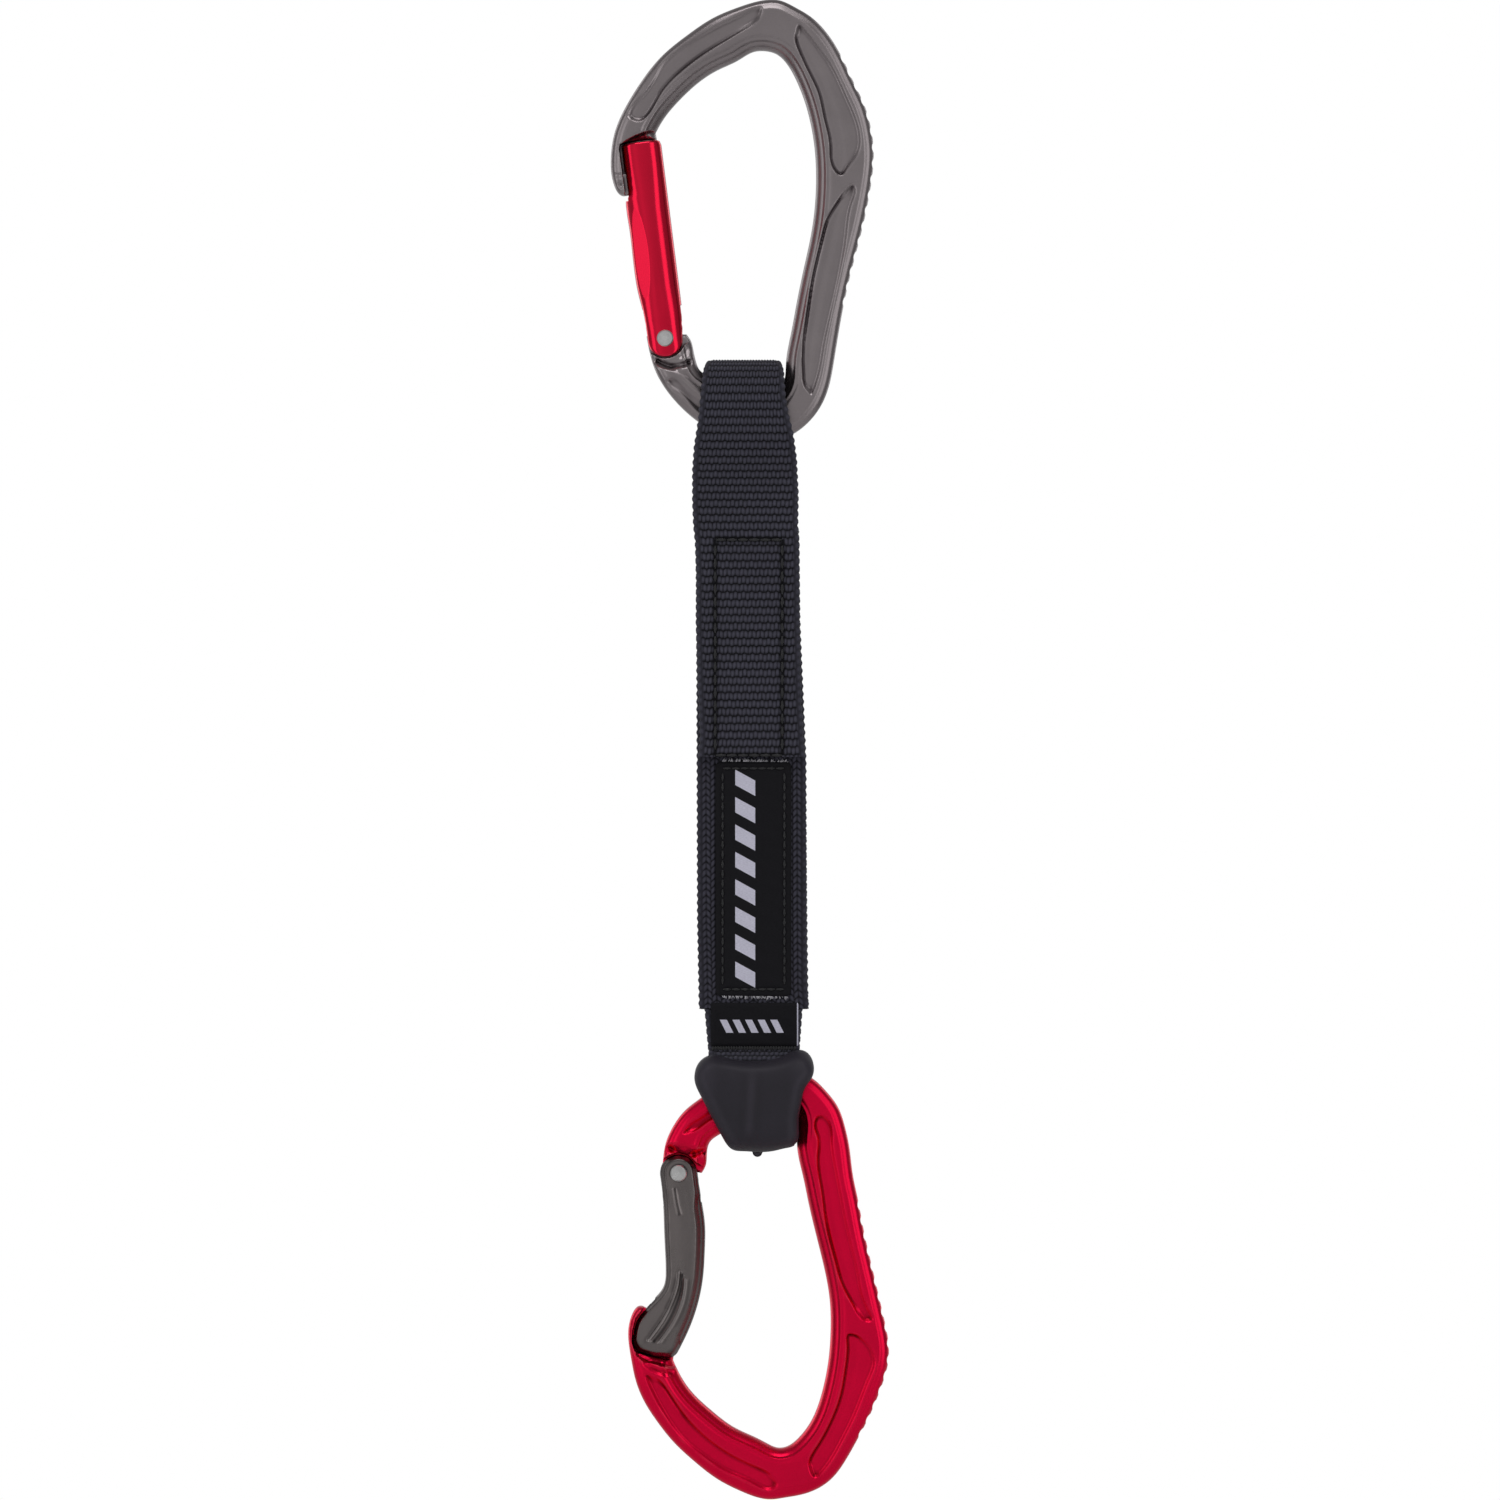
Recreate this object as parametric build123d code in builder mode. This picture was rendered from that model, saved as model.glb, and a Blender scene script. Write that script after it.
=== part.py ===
from build123d import *
from math import cos, radians, sin
import os

# Climbing quickdraw: two solid-gate carabiners joined by a sewn webbing sling.
# Millimetres. +Z is up, +X is towards the spines, +Y is away from the front face.
# The origin is the apex of the upper carabiner's basket, which hangs from an anchor.
# Front-view profiles are drawn as (x, z), side-view profiles as (y, z).

# ---- both carabiners ----
BODY_HALF = 5.3            # half the thickness of a forged body
RIM_ROUND = 3.0            # rounding of the body's long rims
POCKET_DEPTH = 1.0         # forged recess in each face
GRIP_PITCH = 3.6           # notches along the outer spine
GRIP_RADIUS = 2.4
GRIP_DEPTH = 0.3
NOSE_NECK_HALF = 1.6       # keyed nose: thin neck, then a wider bulb
NOSE_BULB_HALF = 3.0
NOSE_HOOD_HALF = 4.3
GATE_HALF = 4.7            # half the thickness of a gate
GATE_HINGE_RADIUS = 4.3    # round end of a gate about its rivet
GATE_ROUND_RADIUS = 5.35   # round section of the straight gate
GATE_RIM = 2.0             # rounding of the bent gate's long rims
LONG_EDGE = 25.0
GATE_CLEARANCE = 0.35
UPPER_GATE_REACH = 46.2    # clearance arc round the rivet that the gate's tip moves inside
LOWER_GATE_REACH = 43.1
POCKET_CLEARANCE = 0.35    # between the keyed nose and its pocket in the gate

# ---- hinge and spring, the same in both gates ----
RIVET_RADIUS = 1.5
RIVET_HEAD_RADIUS = 1.9
RIVET_HEAD_HEIGHT = 0.9
RIVET_HALF = 4.9
RIVET_CHAMFER = 0.25
RUNNING_CLEARANCE = 0.06
TANG_HALF = 2.0
TANG_RADIUS = 4.1
TANG_RECESS_RADIUS = 4.65
CAM_RADIUS = 1.2
CAM_REACH = 4.7
CAM_ANGLE = 27.0
FORK_HALF = 2.25
FORK_DEPTH = 7.2
# Room in the body's face for the gate's heel, which swings past the lug beside the hinge.
HEEL_ROOM = [(4.2, -2.2), (5.0, -1.6), (6.2, -0.1), (7.1, 1.4), (7.1, 3.0), (4.2, 3.0)]
BORE_RADIUS = 2.27
BORE_END = 26.0
PLUNGER_RADIUS = 2.2
PLUNGER_TIP_RADIUS = 0.8
PLUNGER_TIP = 5.2
PLUNGER_SHOULDER = 12.5
PLUNGER_STEM_RADIUS = 1.0
PLUNGER_STEM_END = 18.0
SPRING_RADIUS = 1.65
SPRING_WIRE_RADIUS = 0.28
SPRING_TURNS = 7

# ---- where each gate sits ----
UPPER_RIVET = (-22.7, -66.2)
UPPER_TILT = 7.0           # degrees that the gate leans out at its free end
LOWER_RIVET = (-19.6, -258.0)
LOWER_TILT = 4.5

# ---- sling ----
WEB = 2.3                  # thickness of one webbing layer
LAYER_GAP = 0.05
END_GAP = 0.35             # between the webbing ends that meet at a flex line
CREST_Z = -71.0            # top of the upper loop
UPPER_LOOP_INNER = 6.8     # half the gap between the loop's legs, round the bar
UPPER_LOOP_POINT = -100.4  # where the legs come together
UPPER_LEG_OUTSIDE = [(8.8, -89.0), (5.8, -97.0)]   # the back leg's two faces, side view
UPPER_LEG_INSIDE = [(6.5, -88.6), (3.4, -96.4)]
UPPER_FLEX_Z = -103.0      # flex line between the upper loop and the sewn part
FRONT_END = -162.4         # cut end of the front layer
SEWN_END = -220.35         # cut end of the sewn part
LOWER_LOOP_INNER = 6.3
LOWER_LOOP_BOTTOM = -251.3
LOWER_LEG_TOP = -238.6     # the legs are straight below this
# Where the neck opens into the legs, side view: outer faces before and behind, and inside.
LOWER_SHOULDER_FRONT = [(-1.15, -229.9), (-3.4, -230.9), (-7.3, -233.5)]
LOWER_SHOULDER_BACK = [(3.5, -229.6), (5.2, -231.1), (7.5, -233.8)]
LOWER_SHOULDER_INSIDE = [(0.0, -231.3), (2.8, -232.7), (5.5, -234.9)]
CORE_TOP = -110.0
THREAD = 0.35              # how far a stitch stands out
STITCH_LENGTH = 2.2
STITCH_PITCH = 3.0
STITCH_WIDTH = 0.6
BOX_LEFT = -11.2           # sewn box of the front layer
BOX_RIGHT = 4.2
BOX_TOP = -112.5
BOX_BOTTOM = -162.0
CORNER_GAP = 1.0           # between a side row and the row across its end
LABEL_THICKNESS = 0.7
LABEL_WIDTH = 17.4
LABEL_LENGTH = 54.0
LABEL_CENTRE = (-2.4, -190.4)
LABEL_CORNER = 1.2
LABEL_SEAM = 1.6           # from the label's edge in to its stitches
LABEL_ROW_GAP = 1.5        # from a label row's end to the row across it
TAB_FRONT = [(-12.2, -223.3), (7.6, -223.3), (7.3, -228.7), (-12.0, -228.7)]
BARTACK_START = (-11.4, -229.3)
BARTACK_END = (7.0, -229.3)
BARTACK_LENGTH = 1.0
BARTACK_PITCH = 1.1

CORE_FRONT = -WEB / 2
FRONT_FACE = CORE_FRONT - LAYER_GAP - WEB
STACK_HALF = -FRONT_FACE
NECK_Y = (STACK_HALF + CORE_FRONT) / 2
NECK_HALF = (STACK_HALF - CORE_FRONT) / 2
SEWN_TOP = UPPER_FLEX_Z - STACK_HALF - END_GAP
LOWER_FLEX_Z = SEWN_END - NECK_HALF - END_GAP
WIDE = 60.0                # longer than any profile that it cuts

# ---- rubber keeper ----
KEEPER_FIT = 0.15          # clearance round the webbing
KEEPER_BAR_HALF = 6.1      # half width of the slots that the bar leaves by
KEEPER_MOUTH = 4.0         # height of the mouth that the neck's thread passes

UPPER_OUTER = [
    (-34.6, -21.4), (-33.4, -16.4), (-29.0, -8.2), (-17.7, 3.5), (-5.8, 9.9), (2.0, 11.5),
    (9.6, 8.6), (17.7, -1.2), (23.0, -12.4), (25.2, -24.0), (23.0, -39.3), (18.4, -58.2),
    (15.6, -74.5), (12.9, -81.9), (6.7, -88.1), (-3.2, -90.2), (-12.5, -87.0),
    (-20.5, -80.4), (-25.2, -73.0), (-27.0, -65.6),
]
UPPER_INNER = [
    (-17.7, -65.6), (-16.5, -69.4), (-13.8, -74.2), (-9.0, -76.9), (-3.5, -79.0),
    (1.2, -80.0), (4.2, -77.2), (5.2, -71.5), (7.4, -58.7), (10.6, -43.5),
    (12.0, -29.4), (10.8, -17.0), (7.6, -7.1), (3.4, -1.2), (0.0, 0.0), (-5.0, -1.8),
    (-12.5, -5.4), (-19.3, -11.2), (-23.4, -16.2), (-24.9, -18.9),
]
UPPER_NOSE = [
    (-34.6, -21.4), (-35.2, -25.8), (-34.6, -30.4), (-32.6, -33.2), (-30.6, -32.8),
    (-29.2, -31.0),
]
LOWER_OUTER = [
    (-30.6, -299.9), (-27.5, -310.5), (-20.7, -319.9), (-10.6, -328.4), (1.6, -333.0),
    (8.2, -332.2), (15.4, -328.2), (21.6, -319.0), (27.1, -306.8), (28.7, -298.3),
    (26.5, -286.4), (23.0, -271.4), (20.5, -258.8), (18.6, -247.3), (14.3, -239.3),
    (8.0, -235.0), (0.2, -233.7), (-7.5, -235.9), (-14.4, -240.8), (-20.9, -248.2),
    (-23.3, -256.4),
]
LOWER_INNER = [
    (-14.3, -258.1), (-13.2, -254.4), (-10.9, -250.2), (-6.0, -246.6), (0.0, -243.6),
    (4.8, -242.2), (7.3, -244.6), (7.6, -250.6), (9.4, -260.5), (12.4, -273.9),
    (15.0, -287.0), (15.3, -295.3), (13.5, -308.0), (9.2, -317.6), (3.2, -321.2),
    (-2.5, -319.3), (-12.0, -312.8), (-18.0, -306.8), (-20.9, -301.6),
]
LOWER_NOSE = [
    (-30.6, -299.9), (-31.2, -295.0), (-30.4, -291.0), (-28.4, -288.8), (-26.6, -289.6),
    (-25.8, -292.0),
]
# The nose's root, inside the ring.
UPPER_NOSE_ROOT = [(-29.2, -19.2), (-32.0, -19.0)]
LOWER_NOSE_ROOT = [(-25.8, -302.0), (-29.0, -302.0)]
UPPER_GRIP = (0.40, 0.60)  # share of the outer curve that carries the notches
LOWER_GRIP = (0.40, 0.62)

UPPER_POCKETS = [
    [(-0.5, 9.0), (-11.7, 5.4), (-23.3, -3.0), (-30.8, -15.2), (-26.4, -14.6),
     (-22.6, -9.0), (-13.6, -1.2), (-3.4, 4.6)],
    [(8.6, 5.4), (8.0, 0.4), (12.5, -9.9), (14.4, -19.0), (17.4, -28.6), (21.9, -22.0),
     (19.4, -10.6), (14.4, -1.6)],
    [(20.6, -31.4), (15.0, -37.6), (12.4, -46.0), (10.3, -58.0), (9.0, -72.5),
     (10.8, -79.0), (13.0, -74.0), (15.2, -62.0), (18.2, -48.6)],
]
LOWER_POCKETS = [
    [(13.2, -244.9), (12.1, -253.0), (14.2, -270.0), (17.6, -281.5), (24.4, -291.8),
     (21.8, -278.0), (18.2, -262.0)],
    [(19.8, -295.6), (25.3, -300.2), (21.6, -312.5), (14.6, -324.9), (10.6, -324.4),
     (16.6, -310.0)],
    [(-27.0, -303.8), (-22.0, -307.8), (-13.2, -318.4), (-2.2, -325.6), (2.4, -329.8),
     (-9.6, -326.0), (-19.6, -318.2)],
]

# Gate outlines, in the gate's own plane: (towards the spine, along the gate).
UPPER_GATE_SPINE_SIDE = [(4.3, 0.0), (5.2, 3.4), (5.05, 5.4), (4.75, 44.4), (3.6, 45.5)]
UPPER_GATE_OUTER_SIDE = [
    (-3.7, 45.5), (-4.75, 44.4), (-4.6, 34.2), (-5.2, 31.4), (-5.25, 20.0), (-4.8, 9.0),
    (-4.0, 6.0), (-4.3, 0.0),
]
LOWER_GATE_SPINE_SIDE = [
    (4.3, 0.0), (4.7, 6.4), (5.1, 12.0), (4.6, 18.2), (3.7, 24.4), (2.3, 29.6),
    (-0.6, 36.3), (-3.5, 41.4),
]
LOWER_GATE_TIP = [(-3.5, 41.4), (-5.4, 42.1), (-9.3, 41.3), (-12.7, 39.8)]
LOWER_GATE_OUTER_SIDE = [
    (-12.7, 39.8), (-13.4, 37.0), (-12.2, 32.7), (-9.9, 30.2), (-7.8, 28.4), (-5.6, 26.0),
    (-4.7, 22.0), (-4.4, 14.0), (-4.1, 6.0), (-4.3, 0.0),
]

# Room that the body leaves round the bent gate's free end.
LOWER_GATE_ROOM = [
    (0.0, 24.5), (-5.6, 24.5), (-8.2, 27.9), (-10.3, 29.8), (-12.7, 32.4), (-13.9, 36.9),
    (-13.1, 40.2), (-9.4, 41.8), (-5.3, 42.6), (0.0, 42.6),
]
# Corner from which the gate's tip may sweep inboard, up to the gate's reach.
UPPER_TIP_CORNER = (-5.1, 38.6)
LOWER_TIP_CORNER = (-12.7, 38.0)
TIP_ROOM = (24.0, 12.0)
# Keyed nose: where the thin neck starts along the gate, and the two slots in the gate's tip
# that it fills, each (low x, low y, high x, high y).
UPPER_NECK_START = 38.6
UPPER_NECK_SLOT = (-8.0, 38.0, -0.3, 47.0)
UPPER_BULB_SLOT = (-8.0, 32.4, -0.9, 39.0)
LOWER_NECK_START = 36.5
LOWER_NECK_SLOT = (-15.0, 36.0, -5.8, 44.0)
LOWER_BULB_SLOT = (-15.0, 28.4, -6.4, 37.6)

# Front outlines of the sling's pieces.
UPPER_LOOP_FRONT = [
    (-12.6, -70.5), (-12.7, -76.5), (-14.2, -80.5), (-15.2, -85.0), (-16.3, -93.0),
    (-16.5, -107.0), (7.9, -107.0), (7.6, -97.0), (6.4, -89.0), (5.0, -82.0),
    (3.6, -76.5), (3.5, -70.5),
]
FRONT_WEB_FRONT = [
    (-16.4, SEWN_TOP), (-15.8, -112.5), (-15.6, -131.0), (-15.2, -145.0), (-15.0, FRONT_END),
    (9.3, FRONT_END), (8.7, -149.0), (8.3, -131.0), (7.9, -112.5), (7.9, SEWN_TOP),
]
BACK_WEB_FRONT = [
    (-16.4, SEWN_TOP), (-15.8, -112.5), (-15.6, -131.0), (-15.0, -163.0), (-14.6, SEWN_END),
    (10.2, SEWN_END), (9.6, -163.0), (8.3, -131.0), (7.9, SEWN_TOP),
]
CORE_WEB_FRONT = [
    (-15.7, CORE_TOP), (-15.5, -131.0), (-15.1, -163.0), (-14.6, SEWN_END),
    (10.2, SEWN_END), (9.6, -163.0), (8.3, -131.0), (8.0, CORE_TOP),
]
LOWER_LOOP_FRONT = [
    (-12.9, -220.0), (-12.6, -229.0), (-12.4, -233.0), (-11.5, -238.0), (-8.5, -244.5),
    (-6.6, -249.0), (-6.3, -252.5), (3.6, -252.5), (3.9, -249.0), (4.6, -244.0),
    (6.5, -238.0), (7.6, -232.0), (8.0, -229.0), (8.6, -220.0),
]
KEEPER_FRONT = [
    (-12.0, -231.0), (-15.2, -233.0), (-15.9, -236.5), (-14.3, -240.4), (-9.9, -248.6),
    (-7.4, -252.2), (-0.7, -253.1), (4.4, -252.3), (6.9, -250.0), (6.4, -246.0),
    (7.4, -242.0), (9.2, -238.0), (11.5, -234.4), (10.2, -230.2),
]
# Room in the keeper for the bar, a little larger than the bar's own outlines.
BAR_ROOM_OUTER = [
    (19.4, -250.0), (17.4, -243.0), (14.7, -238.8), (8.2, -234.5), (0.2, -233.1), (-7.8, -235.4),
    (-14.8, -240.4), (-21.4, -247.9),
]
BAR_ROOM_INNER = [
    (-13.6, -254.2), (-10.6, -250.8), (-5.8, -247.1), (0.1, -244.1), (4.6, -242.9), (6.7, -245.0),
    (7.0, -250.6), (8.0, -256.0),
]
KEEPER_SIDE = [
    (5.2, -229.6), (7.4, -231.0), (9.8, -233.8), (10.7, -238.5), (10.7, -246.0),
    (9.2, -250.6), (5.0, -253.3),
]


def gate_plane(rivet, tilt, side):
    """Front-view plane of a gate: origin on the rivet, local x towards the spine,
    local y along the gate. side is -1 for a gate that points up and 1 for one that hangs."""
    lean = radians(tilt)
    return Plane(origin=(rivet[0], 0, rivet[1]), x_dir=(cos(lean), 0, sin(lean)), z_dir=(0, side, 0))


UPPER_GATE_PLANE = gate_plane(UPPER_RIVET, UPPER_TILT, -1)
LOWER_GATE_PLANE = gate_plane(LOWER_RIVET, LOWER_TILT, 1)


def along_gate(gate, distance):
    """Plane across the gate's bore, at a distance from the rivet."""
    start = gate.from_local_coords(Vector(0, distance, 0))
    return Plane(origin=start, x_dir=(0, 1, 0), z_dir=gate.y_dir)


# ---- profiles ----
def closed_curve(points):
    """Face inside one smooth closed curve."""
    with BuildSketch() as profile:
        with BuildLine():
            Spline(*points, periodic=True)
        make_face()
    return profile.sketch


def polygon(points):
    """Face inside straight sides."""
    with BuildSketch() as profile:
        with BuildLine():
            Polyline(*points, close=True)
        make_face()
    return profile.sketch


def ring_profile(outer_points, inner_points):
    """Open ring of a body, from the nose's shoulder round to the hinge's."""
    with BuildSketch() as profile:
        with BuildLine():
            outer = Spline(*outer_points)
            inner = Spline(*inner_points)
            Line(outer @ 1, inner @ 0)
            Line(inner @ 1, outer @ 0)
        make_face()
    return profile.sketch


def nose_profile(points, root):
    """The hook that the gate closes behind, with its root inside the ring."""
    with BuildSketch() as profile:
        with BuildLine():
            edge = Spline(*points)
            Polyline(edge @ 1, *root, edge @ 0)
        make_face()
    return profile.sketch


def grip_profile(outer_points, share):
    """Circles that bite the notches out of the outer spine."""
    with BuildLine() as edge:
        outer = Spline(*outer_points)
    length = outer.length
    count = int((share[1] - share[0]) * length / GRIP_PITCH)
    mid = outer @ 0.5
    with BuildSketch() as profile:
        for index in range(count):
            at = share[0] + index * GRIP_PITCH / length
            along = outer % at
            outward = Vector(-along.Y, along.X, 0)
            if outward.X * mid.X < 0:
                outward = -outward
            centre = (outer @ at) + outward * (GRIP_RADIUS - GRIP_DEPTH)
            with Locations((centre.X, centre.Y)):
                Circle(GRIP_RADIUS)
    return profile.sketch


def tang_profile():
    """End of the body between the gate's cheeks, with the cam that drives the plunger."""
    lean = radians(CAM_ANGLE)
    with BuildSketch() as profile:
        Circle(TANG_RADIUS)
        with Locations((CAM_REACH * sin(lean), CAM_REACH * cos(lean))):
            Circle(CAM_RADIUS)
    return profile.sketch


def upper_gate_profile():
    """Straight gate: round hinge end, flat tip with eased corners, thumb swell outside."""
    with BuildSketch() as profile:
        with BuildLine():
            ThreePointArc((-GATE_HINGE_RADIUS, 0), (0, -GATE_HINGE_RADIUS), (GATE_HINGE_RADIUS, 0))
            Polyline(*UPPER_GATE_SPINE_SIDE)
            Line(UPPER_GATE_SPINE_SIDE[-1], UPPER_GATE_OUTER_SIDE[0])
            Polyline(*UPPER_GATE_OUTER_SIDE)
        make_face()
    return profile.sketch


def lower_gate_profile():
    """Bent gate: straight by the rivet, then swept out to a broad tip behind the nose."""
    with BuildSketch() as profile:
        with BuildLine():
            ThreePointArc((-GATE_HINGE_RADIUS, 0), (0, -GATE_HINGE_RADIUS), (GATE_HINGE_RADIUS, 0))
            Spline(*LOWER_GATE_SPINE_SIDE)
            Spline(*LOWER_GATE_TIP)
            Spline(*LOWER_GATE_OUTER_SIDE)
        make_face()
    return profile.sketch


def gate_space(end_room, reach, corner):
    """Room for a gate's free end: round its own outline, and inboard of it up to its reach."""
    with BuildSketch() as profile:
        Circle(reach)
        with Locations(corner):
            Rectangle(*TIP_ROOM, align=(Align.MIN, Align.MIN), mode=Mode.INTERSECT)
        add(end_room)
    return profile.sketch


def loop_side(outer, void):
    """Side view of a webbing loop: its outline less the gap between its legs."""
    with BuildSketch() as profile:
        add(outer)
        add(void, mode=Mode.SUBTRACT)
    return profile.sketch


def upper_loop_outline():
    """Outline of the upper loop from the side: round crest, legs closing to a round end."""
    reach = UPPER_LOOP_INNER + WEB
    middle = CREST_Z - reach
    end = -STACK_HALF
    with BuildSketch() as profile:
        with BuildLine():
            ThreePointArc((-reach, middle), (0, CREST_Z), (reach, middle))
            right = Spline((reach, middle), *UPPER_LEG_OUTSIDE, (-end, UPPER_FLEX_Z))
            mirror(right, about=Plane.YZ)
            ThreePointArc((-end, UPPER_FLEX_Z), (0, UPPER_FLEX_Z - STACK_HALF), (end, UPPER_FLEX_Z))
        make_face()
    return profile.sketch


def upper_loop_void():
    """Gap between the upper loop's legs."""
    middle = CREST_Z - WEB - UPPER_LOOP_INNER
    with BuildSketch() as profile:
        with BuildLine():
            ThreePointArc((-UPPER_LOOP_INNER, middle), (0, CREST_Z - WEB), (UPPER_LOOP_INNER, middle))
            right = Spline((UPPER_LOOP_INNER, middle), *UPPER_LEG_INSIDE, (0, UPPER_LOOP_POINT))
            mirror(right, about=Plane.YZ)
        make_face()
    return profile.sketch


def lower_loop_outline(spread):
    """Outline of the lower loop from the side, grown all round by a clearance."""
    reach = LOWER_LOOP_INNER + WEB + spread
    middle = LOWER_LOOP_BOTTOM + LOWER_LOOP_INNER + WEB
    neck = NECK_HALF + spread
    front_points = [(y - spread, z + spread) for y, z in LOWER_SHOULDER_FRONT]
    back_points = [(y + spread, z + spread) for y, z in LOWER_SHOULDER_BACK]
    with BuildSketch() as profile:
        with BuildLine():
            front = Spline(*front_points, (-reach, LOWER_LEG_TOP))
            Line((NECK_Y - neck, LOWER_FLEX_Z), front @ 0)
            Line(front @ 1, (-reach, middle))
            ThreePointArc((-reach, middle), (0, LOWER_LOOP_BOTTOM - spread), (reach, middle))
            back = Spline(*back_points, (reach, LOWER_LEG_TOP))
            Line((reach, middle), back @ 1)
            Line(back @ 0, (NECK_Y + neck, LOWER_FLEX_Z))
            ThreePointArc((NECK_Y + neck, LOWER_FLEX_Z), (NECK_Y, LOWER_FLEX_Z + neck),
                          (NECK_Y - neck, LOWER_FLEX_Z))
        make_face()
    return profile.sketch


def lower_loop_void():
    """Gap between the lower loop's legs, which the bar runs through."""
    middle = LOWER_LOOP_BOTTOM + LOWER_LOOP_INNER + WEB
    bottom = LOWER_LOOP_BOTTOM + WEB
    with BuildSketch() as profile:
        with BuildLine():
            right = Spline(*LOWER_SHOULDER_INSIDE, (LOWER_LOOP_INNER, LOWER_LEG_TOP))
            side = Line(right @ 1, (LOWER_LOOP_INNER, middle))
            mirror(right, about=Plane.YZ)
            mirror(side, about=Plane.YZ)
            ThreePointArc((-LOWER_LOOP_INNER, middle), (0, bottom), (LOWER_LOOP_INNER, middle))
        make_face()
    return profile.sketch


def stitch_row(start, end, pitch=STITCH_PITCH, length=STITCH_LENGTH, across=False):
    """A straight row of stitches between two points of the front view."""
    run = Vector(*end) - Vector(*start)
    count = int(run.length / pitch) + 1
    turn = run.get_angle(Vector(1, 0, 0)) + (90 if across else 0)
    with BuildSketch() as row:
        for index in range(count):
            place = Vector(*start) + run * ((index + 0.5) / count)
            with Locations((place.X, place.Y)):
                SlotOverall(length, STITCH_WIDTH, rotation=turn)
    return row.sketch


# ---- carabiner bodies ----
with BuildPart() as upper_carabiner_body:
    with BuildSketch(Plane.XZ):
        add(ring_profile(UPPER_OUTER, UPPER_INNER))
    extrude(amount=BODY_HALF, both=True)
    fillet(upper_carabiner_body.edges().filter_by(GeomType.BSPLINE), RIM_ROUND)
    for side in (-1, 1):
        for outline in UPPER_POCKETS:
            with BuildSketch(Plane.XZ.offset(side * BODY_HALF)):
                add(closed_curve(outline))
            extrude(amount=-side * POCKET_DEPTH, mode=Mode.SUBTRACT)
    with BuildSketch(Plane.XZ):
        add(grip_profile(UPPER_OUTER, UPPER_GRIP))
    extrude(amount=BODY_HALF, both=True, mode=Mode.SUBTRACT)
    with BuildSketch(Plane.XZ):
        add(nose_profile(UPPER_NOSE, UPPER_NOSE_ROOT))
    extrude(amount=NOSE_HOOD_HALF, both=True)
    end_room = offset(upper_gate_profile(), amount=GATE_CLEARANCE, mode=Mode.PRIVATE)
    room = gate_space(end_room, UPPER_GATE_REACH, UPPER_TIP_CORNER)
    for side in (-1, 1):
        with BuildSketch(UPPER_GATE_PLANE.offset(side * NOSE_BULB_HALF)):
            add(room)
        extrude(amount=side * BODY_HALF, mode=Mode.SUBTRACT)
        with BuildSketch(UPPER_GATE_PLANE.offset(side * NOSE_NECK_HALF)):
            add(room)
            with Locations((0, UPPER_NECK_START)):
                Rectangle(WIDE, WIDE, align=(Align.CENTER, Align.MIN), mode=Mode.INTERSECT)
        extrude(amount=side * BODY_HALF, mode=Mode.SUBTRACT)
        with BuildSketch(UPPER_GATE_PLANE.offset(side * TANG_HALF)):
            Circle(TANG_RECESS_RADIUS)
            add(polygon(HEEL_ROOM))
        extrude(amount=side * BODY_HALF, mode=Mode.SUBTRACT)
    with BuildSketch(UPPER_GATE_PLANE):
        add(tang_profile())
    extrude(amount=TANG_HALF, both=True)
    with BuildSketch(UPPER_GATE_PLANE):
        Circle(RIVET_RADIUS + RUNNING_CLEARANCE)
    extrude(amount=BODY_HALF, both=True, mode=Mode.SUBTRACT)
upper_carabiner_body.part.label = "upper_carabiner_body"

with BuildPart() as lower_carabiner_body:
    with BuildSketch(Plane.XZ):
        add(ring_profile(LOWER_OUTER, LOWER_INNER))
    extrude(amount=BODY_HALF, both=True)
    fillet(lower_carabiner_body.edges().filter_by(GeomType.BSPLINE), RIM_ROUND)
    for side in (-1, 1):
        for outline in LOWER_POCKETS:
            with BuildSketch(Plane.XZ.offset(side * BODY_HALF)):
                add(closed_curve(outline))
            extrude(amount=-side * POCKET_DEPTH, mode=Mode.SUBTRACT)
    with BuildSketch(Plane.XZ):
        add(grip_profile(LOWER_OUTER, LOWER_GRIP))
    extrude(amount=BODY_HALF, both=True, mode=Mode.SUBTRACT)
    with BuildSketch(Plane.XZ):
        add(nose_profile(LOWER_NOSE, LOWER_NOSE_ROOT))
    extrude(amount=NOSE_HOOD_HALF, both=True)
    room = gate_space(polygon(LOWER_GATE_ROOM), LOWER_GATE_REACH, LOWER_TIP_CORNER)
    for side in (-1, 1):
        with BuildSketch(LOWER_GATE_PLANE.offset(side * NOSE_BULB_HALF)):
            add(room)
        extrude(amount=side * BODY_HALF, mode=Mode.SUBTRACT)
        with BuildSketch(LOWER_GATE_PLANE.offset(side * NOSE_NECK_HALF)):
            add(room)
            with Locations((0, LOWER_NECK_START)):
                Rectangle(WIDE, WIDE, align=(Align.CENTER, Align.MIN), mode=Mode.INTERSECT)
        extrude(amount=side * BODY_HALF, mode=Mode.SUBTRACT)
        with BuildSketch(LOWER_GATE_PLANE.offset(side * TANG_HALF)):
            Circle(TANG_RECESS_RADIUS)
            add(polygon(HEEL_ROOM))
        extrude(amount=side * BODY_HALF, mode=Mode.SUBTRACT)
    with BuildSketch(LOWER_GATE_PLANE):
        add(tang_profile())
    extrude(amount=TANG_HALF, both=True)
    with BuildSketch(LOWER_GATE_PLANE):
        Circle(RIVET_RADIUS + RUNNING_CLEARANCE)
    extrude(amount=BODY_HALF, both=True, mode=Mode.SUBTRACT)
lower_carabiner_body.part.label = "lower_carabiner_body"


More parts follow.
